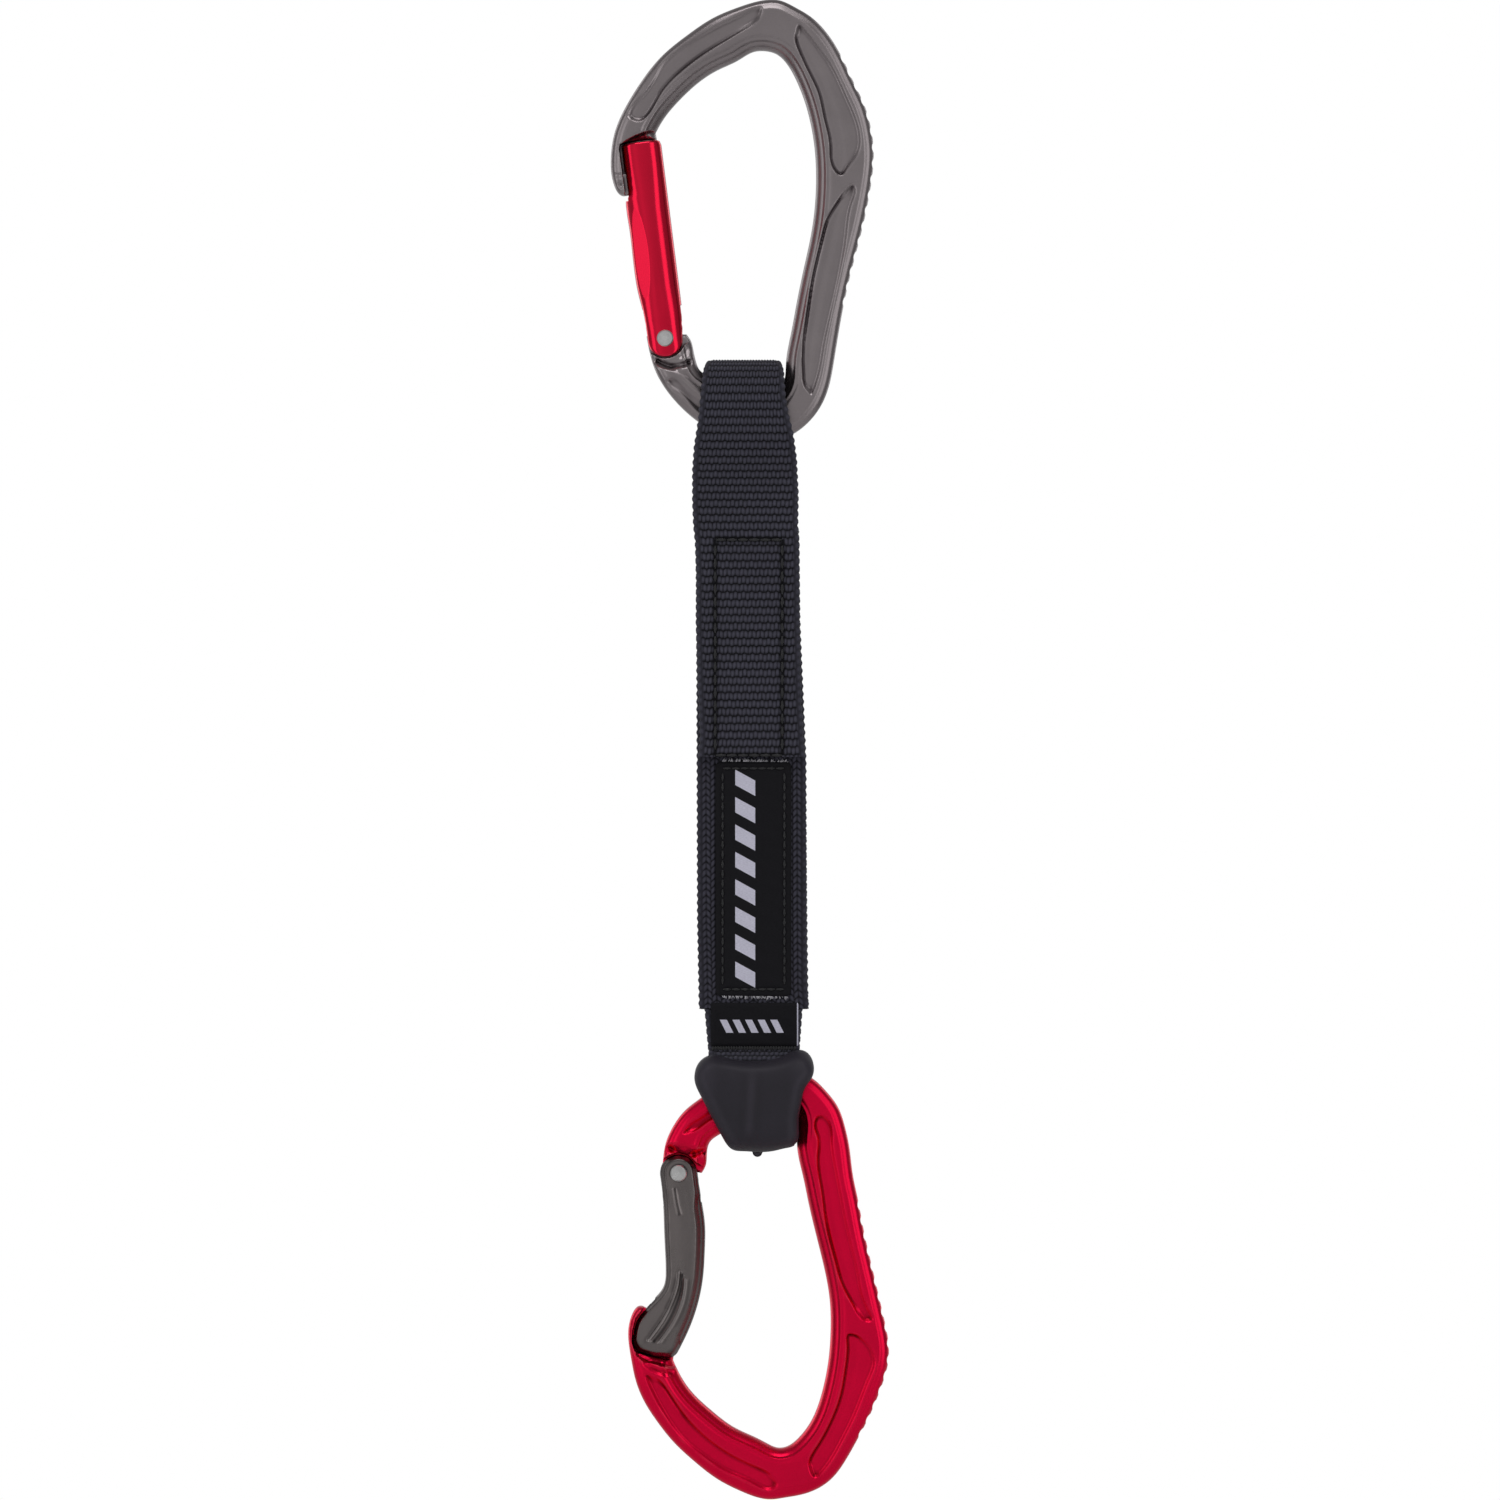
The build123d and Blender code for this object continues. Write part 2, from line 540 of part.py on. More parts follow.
# ---- gates ----
def hinge_cuts(gate):
    """What both gates lose to their hinge end: fork slot, bore, rivet hole and head seats."""
    with BuildPart() as cuts:
        with BuildSketch(gate):
            with Locations((0, FORK_DEPTH)):
                Rectangle(WIDE / 4, 2 * FORK_DEPTH, align=(Align.CENTER, Align.MAX))
        extrude(amount=FORK_HALF, both=True)
        with BuildSketch(along_gate(gate, 0)):
            Circle(BORE_RADIUS)
        extrude(amount=BORE_END)
        with BuildSketch(gate):
            Circle(RIVET_RADIUS + RUNNING_CLEARANCE)
        extrude(amount=BODY_HALF, both=True)
        for side in (-1, 1):
            with BuildSketch(gate.offset(side * (RIVET_HALF - RIVET_HEAD_HEIGHT - RUNNING_CLEARANCE))):
                Circle(RIVET_HEAD_RADIUS + RUNNING_CLEARANCE)
            extrude(amount=side * BODY_HALF)
    return cuts.part


def nose_pocket(gate, neck, bulb):
    """Keyhole in a gate's tip that the nose fills: a thin slot, then a wider one."""
    with BuildPart() as pocket:
        for zone, half in ((neck, NOSE_NECK_HALF), (bulb, NOSE_BULB_HALF)):
            with BuildSketch(gate):
                with Locations((zone[0], zone[1])):
                    Rectangle(zone[2] - zone[0], zone[3] - zone[1], align=(Align.MIN, Align.MIN))
            extrude(amount=half + POCKET_CLEARANCE, both=True)
    return pocket.part


upper_hinge_cuts = hinge_cuts(UPPER_GATE_PLANE)
upper_nose_pocket = nose_pocket(UPPER_GATE_PLANE, UPPER_NECK_SLOT, UPPER_BULB_SLOT)
with BuildPart() as upper_gate:
    with BuildSketch(UPPER_GATE_PLANE):
        add(upper_gate_profile())
    extrude(amount=GATE_HALF, both=True)
    with BuildSketch(along_gate(UPPER_GATE_PLANE, -GATE_HINGE_RADIUS)):
        Circle(GATE_ROUND_RADIUS)
    extrude(amount=WIDE, mode=Mode.INTERSECT)
    add(upper_hinge_cuts, mode=Mode.SUBTRACT)
    add(upper_nose_pocket, mode=Mode.SUBTRACT)
upper_gate.part.label = "upper_gate"

lower_hinge_cuts = hinge_cuts(LOWER_GATE_PLANE)
lower_nose_pocket = nose_pocket(LOWER_GATE_PLANE, LOWER_NECK_SLOT, LOWER_BULB_SLOT)
with BuildPart() as lower_gate:
    with BuildSketch(LOWER_GATE_PLANE):
        add(lower_gate_profile())
    extrude(amount=GATE_HALF, both=True)
    curved = lower_gate.edges().filter_by(GeomType.BSPLINE)
    rims = curved.filter_by(lambda edge: edge.length > LONG_EDGE and abs(edge.center().Y) > 1)
    fillet(rims, GATE_RIM)
    add(lower_hinge_cuts, mode=Mode.SUBTRACT)
    add(lower_nose_pocket, mode=Mode.SUBTRACT)
lower_gate.part.label = "lower_gate"


# ---- rivets, plungers and springs ----
def rivet(gate):
    """Hinge pin with a flush head in each cheek."""
    with BuildPart() as pin:
        with BuildSketch(gate):
            Circle(RIVET_RADIUS)
        extrude(amount=RIVET_HALF, both=True)
        for side in (-1, 1):
            with BuildSketch(gate.offset(side * (RIVET_HALF - RIVET_HEAD_HEIGHT))):
                Circle(RIVET_HEAD_RADIUS)
            extrude(amount=side * RIVET_HEAD_HEIGHT)
        ends = pin.faces().filter_by(Axis.Y).sort_by(Axis.Y)
        chamfer(ends[0].edges() + ends[-1].edges(), RIVET_CHAMFER)
    return pin.part


def plunger(gate):
    """Pusher: blunt cone on the cam, collar in the bore, stem inside the spring."""
    cone = PLUNGER_RADIUS - PLUNGER_TIP_RADIUS
    outline = [
        (0, PLUNGER_TIP), (PLUNGER_TIP_RADIUS, PLUNGER_TIP), (PLUNGER_RADIUS, PLUNGER_TIP + cone),
        (PLUNGER_RADIUS, PLUNGER_SHOULDER), (PLUNGER_STEM_RADIUS, PLUNGER_SHOULDER),
        (PLUNGER_STEM_RADIUS, PLUNGER_STEM_END), (0, PLUNGER_STEM_END),
    ]
    with BuildPart() as pin:
        with BuildSketch(gate):
            add(polygon(outline))
        revolve(axis=Axis(gate.origin, gate.y_dir))
    return pin.part


def spring(gate):
    """Coil between the plunger's collar and the end of the bore."""
    low = PLUNGER_SHOULDER + SPRING_WIRE_RADIUS
    height = BORE_END - SPRING_WIRE_RADIUS - low
    with BuildPart() as coil:
        with BuildLine():
            path = Helix(pitch=height / SPRING_TURNS, height=height, radius=SPRING_RADIUS,
                         center=along_gate(gate, low).origin, direction=gate.y_dir)
        with BuildSketch(Plane(origin=path @ 0, z_dir=path % 0)):
            Circle(SPRING_WIRE_RADIUS)
        sweep(path=path, is_frenet=True)
    return coil.part


with BuildPart() as upper_gate_rivet:
    add(rivet(UPPER_GATE_PLANE))
upper_gate_rivet.part.label = "upper_gate_rivet"

with BuildPart() as lower_gate_rivet:
    add(rivet(LOWER_GATE_PLANE))
lower_gate_rivet.part.label = "lower_gate_rivet"

with BuildPart() as upper_gate_plunger:
    add(plunger(UPPER_GATE_PLANE))
upper_gate_plunger.part.label = "upper_gate_plunger"

with BuildPart() as lower_gate_plunger:
    add(plunger(LOWER_GATE_PLANE))
lower_gate_plunger.part.label = "lower_gate_plunger"

with BuildPart() as upper_gate_spring:
    add(spring(UPPER_GATE_PLANE))
upper_gate_spring.part.label = "upper_gate_spring"

with BuildPart() as lower_gate_spring:
    add(spring(LOWER_GATE_PLANE))
lower_gate_spring.part.label = "lower_gate_spring"


# ---- sling ----
def flat_layer(front_points, front_y):
    """One sewn layer: its front outline, a webbing's thickness behind front_y."""
    with BuildPart() as layer:
        with BuildSketch(Plane.XZ.offset(-front_y)):
            add(polygon(front_points))
        extrude(amount=-WEB)
    return layer.part


def thread(rows, face_y):
    """Stitches that stand out of a face that looks towards the front."""
    with BuildPart() as stitches:
        with BuildSketch(Plane.XZ.offset(-face_y)):
            for row in rows:
                add(row)
        extrude(amount=THREAD)
    return stitches.part


with BuildPart() as upper_loop_webbing:
    with BuildSketch(Plane.YZ):
        add(loop_side(upper_loop_outline(), upper_loop_void()))
    extrude(amount=WIDE, both=True)
    with BuildSketch(Plane.XZ):
        add(polygon(UPPER_LOOP_FRONT))
    extrude(amount=WIDE, both=True, mode=Mode.INTERSECT)
upper_loop_webbing.part.label = "upper_loop_webbing"

with BuildPart() as front_webbing:
    add(flat_layer(FRONT_WEB_FRONT, FRONT_FACE))
front_webbing.part.label = "front_webbing"

with BuildPart() as core_webbing:
    add(flat_layer(CORE_WEB_FRONT, CORE_FRONT))
core_webbing.part.label = "core_webbing"

with BuildPart() as back_webbing:
    add(flat_layer(BACK_WEB_FRONT, STACK_HALF - WEB))
back_webbing.part.label = "back_webbing"

with BuildPart() as lower_loop_webbing:
    with BuildSketch(Plane.YZ):
        add(loop_side(lower_loop_outline(0), lower_loop_void()))
    extrude(amount=WIDE, both=True)
    with BuildSketch(Plane.XZ):
        add(polygon(LOWER_LOOP_FRONT))
    extrude(amount=WIDE, both=True, mode=Mode.INTERSECT)
lower_loop_webbing.part.label = "lower_loop_webbing"

box_rows = [
    stitch_row((BOX_LEFT, BOX_TOP), (BOX_RIGHT, BOX_TOP)),
    stitch_row((BOX_LEFT, BOX_BOTTOM), (BOX_RIGHT, BOX_BOTTOM)),
    stitch_row((BOX_LEFT, BOX_TOP - CORNER_GAP), (BOX_LEFT, BOX_BOTTOM + CORNER_GAP)),
    stitch_row((BOX_RIGHT, BOX_TOP - CORNER_GAP), (BOX_RIGHT, BOX_BOTTOM + CORNER_GAP)),
]
with BuildPart() as box_stitching:
    add(thread(box_rows, FRONT_FACE))
box_stitching.part.label = "box_stitching"

with BuildPart() as long_label:
    with BuildSketch(Plane.XZ.offset(-CORE_FRONT)):
        with Locations((LABEL_CENTRE[0], LABEL_CENTRE[1])):
            RectangleRounded(LABEL_WIDTH, LABEL_LENGTH, LABEL_CORNER)
    extrude(amount=LABEL_THICKNESS)
long_label.part.label = "long_label"

label_left = LABEL_CENTRE[0] - LABEL_WIDTH / 2 + LABEL_SEAM
label_right = LABEL_CENTRE[0] + LABEL_WIDTH / 2 - LABEL_SEAM
label_top = LABEL_CENTRE[1] + LABEL_LENGTH / 2 - LABEL_SEAM
label_bottom = LABEL_CENTRE[1] - LABEL_LENGTH / 2 + LABEL_SEAM
label_rows = [
    stitch_row((label_left, label_top), (label_right, label_top)),
    stitch_row((label_left, label_bottom), (label_right, label_bottom)),
    stitch_row((label_left, label_top - LABEL_ROW_GAP), (label_left, label_bottom + LABEL_ROW_GAP)),
    stitch_row((label_right, label_top - LABEL_ROW_GAP), (label_right, label_bottom + LABEL_ROW_GAP)),
]
with BuildPart() as label_stitching:
    add(thread(label_rows, CORE_FRONT - LABEL_THICKNESS))
label_stitching.part.label = "label_stitching"

with BuildPart() as tab_label:
    with BuildSketch(Plane.XZ.offset(-CORE_FRONT)):
        add(polygon(TAB_FRONT))
    extrude(amount=LABEL_THICKNESS)
tab_label.part.label = "tab_label"

bartack = stitch_row(BARTACK_START, BARTACK_END, BARTACK_PITCH, BARTACK_LENGTH, across=True)
with BuildPart() as bartack_stitching:
    add(thread([bartack], CORE_FRONT))
bartack_stitching.part.label = "bartack_stitching"

with BuildPart() as rubber_keeper:
    with BuildSketch(Plane.XZ):
        add(closed_curve(KEEPER_FRONT))
    extrude(amount=WIDE, both=True)
    with BuildSketch(Plane.YZ):
        with BuildLine():
            back = Spline(*KEEPER_SIDE)
            front = mirror(back, about=Plane.YZ)
            Line(back @ 0, front @ 0)
            Line(back @ 1, front @ 1)
        make_face()
    extrude(amount=WIDE, both=True, mode=Mode.INTERSECT)
    with BuildSketch(Plane.YZ.offset(-WIDE / 2)) as pocket_side:
        add(lower_loop_outline(KEEPER_FIT))
        with Locations((NECK_Y, KEEPER_SIDE[0][1])):
            Rectangle(2 * (NECK_HALF + THREAD + 2 * KEEPER_FIT), KEEPER_MOUTH)
    pocket = extrude(amount=WIDE, mode=Mode.PRIVATE)
    with BuildSketch(Plane.XZ, mode=Mode.PRIVATE) as pocket_front:
        add(polygon(LOWER_LOOP_FRONT))
        offset(amount=KEEPER_FIT)
    across = extrude(pocket_front.sketch, amount=WIDE, both=True, mode=Mode.PRIVATE)
    add(pocket & across, mode=Mode.SUBTRACT)
    with BuildSketch(Plane.XZ):
        add(ring_profile(BAR_ROOM_OUTER, BAR_ROOM_INNER))
    extrude(amount=KEEPER_BAR_HALF, both=True, mode=Mode.SUBTRACT)
rubber_keeper.part.label = "rubber_keeper"

PIECES = [
    upper_carabiner_body, upper_gate, upper_gate_rivet, upper_gate_spring, upper_gate_plunger,
    lower_carabiner_body, lower_gate, lower_gate_rivet, lower_gate_spring, lower_gate_plunger,
    upper_loop_webbing, front_webbing, core_webbing, back_webbing, lower_loop_webbing,
    box_stitching, long_label, label_stitching, tab_label, bartack_stitching, rubber_keeper,
]
os.makedirs("parts", exist_ok=True)
for piece in PIECES:
    export_step(piece.part, f"parts/{piece.part.label}.step")
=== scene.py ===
import math

import bpy
import numpy as np
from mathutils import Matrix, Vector


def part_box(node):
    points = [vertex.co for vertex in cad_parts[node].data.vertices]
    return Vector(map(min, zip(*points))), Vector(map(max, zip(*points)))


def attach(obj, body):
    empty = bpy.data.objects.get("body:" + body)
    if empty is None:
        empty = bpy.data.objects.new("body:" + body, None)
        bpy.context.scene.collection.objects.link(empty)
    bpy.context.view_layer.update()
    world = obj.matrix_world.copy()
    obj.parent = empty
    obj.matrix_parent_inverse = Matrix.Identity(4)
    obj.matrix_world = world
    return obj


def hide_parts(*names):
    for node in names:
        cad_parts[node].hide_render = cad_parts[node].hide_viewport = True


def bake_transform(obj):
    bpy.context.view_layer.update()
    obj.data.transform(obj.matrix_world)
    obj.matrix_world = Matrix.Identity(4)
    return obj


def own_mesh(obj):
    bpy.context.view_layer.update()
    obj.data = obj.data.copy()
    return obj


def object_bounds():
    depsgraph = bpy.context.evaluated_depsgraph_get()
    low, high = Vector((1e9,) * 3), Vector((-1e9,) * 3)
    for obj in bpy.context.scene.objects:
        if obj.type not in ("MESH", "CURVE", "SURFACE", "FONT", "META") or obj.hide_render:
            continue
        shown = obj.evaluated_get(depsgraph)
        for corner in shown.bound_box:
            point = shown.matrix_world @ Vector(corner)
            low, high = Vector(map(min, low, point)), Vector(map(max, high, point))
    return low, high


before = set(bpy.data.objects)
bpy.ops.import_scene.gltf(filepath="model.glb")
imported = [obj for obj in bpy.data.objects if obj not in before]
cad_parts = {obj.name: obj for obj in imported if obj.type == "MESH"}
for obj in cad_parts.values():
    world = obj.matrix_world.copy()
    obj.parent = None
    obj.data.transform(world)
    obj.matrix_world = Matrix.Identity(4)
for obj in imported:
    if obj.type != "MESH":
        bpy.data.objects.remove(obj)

# Looks of a climbing quickdraw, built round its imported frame.
# Lists of points are millimetres in the row frame: +X towards the spines, +Y away from
# the front, +Z up. Meshes are made in metres.
MM = 0.001
CAD_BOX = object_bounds()
RANDOM = np.random.default_rng(7)


def middle(node):
    """Centre of a CAD node's box, in millimetres."""
    low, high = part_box(node)
    return [(a + b) / 2 / MM for a, b in zip(low, high)]


def half_depth(node):
    low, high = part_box(node)
    return (high.y - low.y) / 2 / MM


UPPER_RIVET = middle("upper_gate_rivet")
LOWER_RIVET = middle("lower_gate_rivet")
BODY_HALF = half_depth("upper_carabiner_body")
GATE_HALF = half_depth("upper_gate")
FRONT_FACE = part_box("front_webbing")[0].y / MM
CORE_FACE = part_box("core_webbing")[0].y / MM
BACK_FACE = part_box("back_webbing")[1].y / MM
LABEL_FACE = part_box("long_label")[0].y / MM
SEWN_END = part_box("core_webbing")[0].z / MM
FRONT_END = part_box("front_webbing")[0].z / MM
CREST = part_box("upper_loop_webbing")[1].z / MM
LOOP_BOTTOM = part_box("lower_loop_webbing")[0].z / MM
UPPER_TILT, LOWER_TILT = 7.0, 4.5     # degrees that each gate leans


# ---------------------------------------------------------------- curves and fields
def distances(points):
    """How far along the line each point is."""
    return np.concatenate([[0], np.cumsum(np.linalg.norm(np.diff(points, axis=0), axis=1))])


def spline(points, closed=False, step=0.5):
    """Points about a step apart on the smooth curve through the given ones."""
    p = np.array(points, float)
    if closed:
        p = np.vstack([p, p[:1]])
    n, h = len(p), np.diff(distances(p))
    system, right = np.zeros((n, n)), np.zeros((n, p.shape[1]))
    slope = np.diff(p, axis=0) / h[:, None]
    for i in range(1, n - 1):
        system[i, i - 1:i + 2] = h[i - 1], 2 * (h[i - 1] + h[i]), h[i]
        right[i] = 6 * (slope[i] - slope[i - 1])
    if closed:
        system[0, 0], system[0, -1] = 1, -1
        system[-1, 0], system[-1, 1] = 2 * h[0], h[0]
        system[-1, -2], system[-1, -1] = h[-1], 2 * h[-1]
        right[-1] = 6 * (slope[0] - slope[-1])
    else:
        system[0, 0] = system[-1, -1] = 1
    bend = np.linalg.solve(system, right)
    out = []
    for i in range(n - 1):
        count = max(2, int(round(h[i] / step)))
        s = (np.arange(count) / count)[:, None]
        a, b = 1 - s, s
        curve = (a ** 3 - a) * bend[i] + (b ** 3 - b) * bend[i + 1]
        out.append(a * p[i] + b * p[i + 1] + h[i] ** 2 / 6 * curve)
    if not closed:
        out.append(p[-1:])
    return np.vstack(out)


def arc(centre, radius, start, end, count=24):
    """Points of an arc, its angles in degrees."""
    turn = np.radians(np.linspace(start, end, count))
    return np.array(centre) + radius * np.stack([np.cos(turn), np.sin(turn)], 1)


def step_up(value, low, high):
    """0 below low, 1 above high, and smooth between."""
    t = np.clip((value - low) / (high - low), 0, 1)
    return t * t * (3 - 2 * t)


def ridge(distance, width):
    """1 on a line, falling smoothly to 0 beside it."""
    return np.exp(-(distance / width) ** 2)


def rounded(p, q, radius):
    """Field of what is inside both p and q, with their corner rounded."""
    p, q = p + radius, q + radius
    return np.minimum(np.maximum(p, q), 0) + np.hypot(np.maximum(p, 0), np.maximum(q, 0)) - radius


def smooth_max(p, q, k):
    return np.maximum(p, q) + np.maximum(k - np.abs(p - q), 0) ** 2 / (4 * k)


def cut(value, a, b):
    """Takes what is inside both a and b out of a solid."""
    return np.maximum(value, -np.maximum(a, b))


class Plan:
    """A grid of the front view that holds named fields, such as distances to outlines."""
    REACH = 7.0

    def __init__(self, low, high, step):
        self.low, self.step = np.array(low, float), step
        self.size = [int(math.ceil((b - a) / step)) + 1 for a, b in zip(low, high)]
        self.x = low[0] + step * np.arange(self.size[0])
        self.z = low[1] + step * np.arange(self.size[1])
        self.grid = np.meshgrid(self.x, self.z, indexing="ij")
        self.fields = {}

    def window(self, a, b):
        """Slices of the grid within reach of a segment."""
        first = (np.minimum(a, b) - self.REACH - self.low) / self.step
        last = (np.maximum(a, b) + self.REACH - self.low) / self.step
        return [slice(max(0, int(f)), max(0, min(n, int(l) + 2))) for f, l, n in zip(first, last, self.size)]

    def near(self, points):
        """Distance to an open line."""
        out = np.full(self.size, self.REACH)
        for a, b in zip(points[:-1], points[1:]):
            i, j = self.window(a, b)
            x, z = self.x[i][:, None] - a[0], self.z[j][None, :] - a[1]
            d = b - a
            t = np.clip((x * d[0] + z * d[1]) / max(d @ d, 1e-12), 0, 1)
            out[i, j] = np.minimum(out[i, j], np.hypot(x - t * d[0], z - t * d[1]))
        return out

    def inside(self, points):
        """Signed distance to a closed outline, negative inside."""
        ring = np.vstack([points, points[:1]])
        odd = np.zeros(self.size, bool)
        for a, b in zip(ring[:-1], ring[1:]):
            if a[1] == b[1]:
                continue
            rows = (self.z >= min(a[1], b[1])) & (self.z < max(a[1], b[1]))
            cross = a[0] + (self.z[rows] - a[1]) * (b[0] - a[0]) / (b[1] - a[1])
            odd[:, rows] ^= self.x[:, None] < cross[None, :]
        return np.where(odd, -1, 1) * self.near(ring)

    def at(self, x, z):
        """Every field at scattered points."""
        u = np.clip((x - self.low[0]) / self.step, 0, self.size[0] - 1.001)
        v = np.clip((z - self.low[1]) / self.step, 0, self.size[1] - 1.001)
        i, j = u.astype(int), v.astype(int)
        u, v = u - i, v - j
        return {name: (f[i, j] * (1 - u) + f[i + 1, j] * u) * (1 - v)
                + (f[i, j + 1] * (1 - u) + f[i + 1, j + 1] * u) * v for name, f in self.fields.items()}


def plan_round(outline, step):
    """Plan that holds an outline with a margin of four cells."""
    return Plan(outline.min(0) - 4 * step, outline.max(0) + 4 * step, step)


# pairs of a cell's corners that share an edge
EDGES = [(a, b) for a in range(8) for b in range(a + 1, 8) if bin(a ^ b).count("1") == 1]


def surface(plan, depth, solid):
    """Mesh of the surface where solid(fields, y) is zero: one vertex in each cell that the
    surface passes, then two steps on to the surface itself. depth is its half thickness."""
    y = np.arange(-depth - 2.5 * plan.step, depth + 2.6 * plan.step, plan.step)
    wide = {name: f[:, None, :] for name, f in plan.fields.items()}
    value = np.broadcast_to(solid(wide, y[None, :, None]), (plan.size[0], len(y), plan.size[1]))
    low = value < 0
    corner = [(c & 1, c >> 1 & 1, c >> 2 & 1) for c in range(8)]
    cells = [n - 1 for n in value.shape]

    def shifted(array, c):
        return array[tuple(slice(o, o + n) for o, n in zip(corner[c], cells))]

    count = sum(shifted(low, c).astype(np.int8) for c in range(8))
    where = np.nonzero((count > 0) & (count < 8))
    at = [shifted(value, c)[where] for c in range(8)]
    total, hits = np.zeros((len(where[0]), 3)), np.zeros(len(where[0]))
    for a, b in EDGES:
        crossed = (at[a] < 0) != (at[b] < 0)
        share = np.where(crossed, at[a] / np.where(crossed, at[a] - at[b], 1), 0)
        ca, cb = np.array(corner[a], float), np.array(corner[b], float)
        total += crossed[:, None] * (ca + share[:, None] * (cb - ca))
        hits += crossed
    points = (np.stack(where, 1) + total / hits[:, None]) * plan.step + [plan.x[0], y[0], plan.z[0]]
    index = np.full(cells, -1, np.int64)
    index[where] = np.arange(len(points))
    faces = []
    for axis in range(3):
        u, v = (axis + 1) % 3, (axis + 2) % 3
        first = [slice(1, -1)] * 3
        last = [slice(1, -1)] * 3
        first[axis], last[axis] = slice(0, -1), slice(1, None)
        before, after = low[tuple(first)], low[tuple(last)]
        for rising in (False, True):
            cell = list(np.nonzero((before != after) & (after == rising)))
            for k in (u, v):
                cell[k] = cell[k] + 1
            quad = []
            for du, dv in ((1, 1), (0, 1), (0, 0), (1, 0)):
                at_cell = list(cell)
                at_cell[u], at_cell[v] = cell[u] - du, cell[v] - dv
                quad.append(index[tuple(at_cell)])
            faces.append(np.stack(quad[::-1] if rising else quad, 1))
    faces = np.vstack(faces)
    nudge = 0.4 * plan.step

    def level(p):
        return solid(plan.at(p[:, 0], p[:, 2]), p[:, 1])

    for _ in range(2):
        slope = [level(points + off) - level(points - off) for off in np.eye(3) * nudge]
        slope = np.stack(slope, 1) / (2 * nudge)
        move = -level(points)[:, None] * slope / np.maximum((slope ** 2).sum(1), 0.05)[:, None]
        size = np.linalg.norm(move, axis=1)[:, None]
        points = points + move * np.minimum(1, nudge / np.maximum(size, 1e-9))
    return points, faces


def make_mesh(name, points, faces, place=None):
    """Object of quads with smooth shading, from points in millimetres."""
    if place is not None:
        points = place(points)
    mesh = bpy.data.meshes.new(name)
    mesh.vertices.add(len(points))
    mesh.vertices.foreach_set("co", (np.asarray(points) * MM).astype(np.float32).ravel())
    mesh.loops.add(faces.size)
    mesh.loops.foreach_set("vertex_index", faces.astype(np.int32).ravel())
    mesh.polygons.add(len(faces))
    mesh.polygons.foreach_set("loop_start", np.arange(0, faces.size, 4, dtype=np.int32))
    mesh.polygons.foreach_set("use_smooth", np.ones(len(faces), bool))
    mesh.update(calc_edges=True)
    mesh.validate()
    piece = bpy.data.objects.new(name, mesh)
    bpy.context.scene.collection.objects.link(piece)
    return piece


CAVITY_SPREAD, CAVITY_BLUR, CAVITY_GAIN = 4, 5, 3.6


def store(piece, name, values):
    piece.data.attributes.new(name, "FLOAT", "POINT").data.foreach_set("value", values.astype(np.float32))


def store_uv(piece, flat):
    """UV map from each vertex's flat place."""
    index = np.zeros(len(piece.data.loops), np.int32)
    piece.data.loops.foreach_get("vertex_index", index)
    layer = piece.data.uv_layers.new(name="UVMap")
    layer.data.foreach_set("uv", flat[index].astype(np.float32).ravel())


def store_cavity(piece):
    """Per vertex: above 0.5 in hollows and below it on ridges."""
    mesh = piece.data
    n = len(mesh.vertices)
    co = np.zeros(n * 3, np.float32)
    mesh.vertices.foreach_get("co", co)
    normal = np.zeros(n * 3, np.float32)
    mesh.vertex_normals.foreach_get("vector", normal)
    ends = np.zeros(len(mesh.edges) * 2, np.int32)
    mesh.edges.foreach_get("vertices", ends)
    a, b = ends[::2], ends[1::2]
    near = np.bincount(a, minlength=n) + np.bincount(b, minlength=n)

    def mean(values):
        return (np.bincount(a, values[b], n) + np.bincount(b, values[a], n)) / np.maximum(near, 1)

    co, normal = co.reshape(-1, 3), normal.reshape(-1, 3)
    blurred = co.astype(float)
    for _ in range(CAVITY_SPREAD):
        blurred = np.stack([mean(blurred[:, k]) for k in range(3)], 1)
    bend = ((blurred - co) * normal).sum(1) / MM
    for _ in range(CAVITY_BLUR):
        bend = mean(bend)
    # the materials paint shade in the hollows and highlight on the ridges from this value
    store(piece, "cavity", np.clip(0.5 + bend * CAVITY_GAIN, 0, 1))


def finish_piece(piece, material, body, slot, *nodes):
    """Gives a piece its material, attaches it to its body and hides the CAD nodes that it stands for. slot is
    not used.
    A piece whose body is None is attached to no body."""
    piece.data.materials.append(material)
    if body:
        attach(piece, body)
    if nodes:
        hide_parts(*nodes)
    return piece


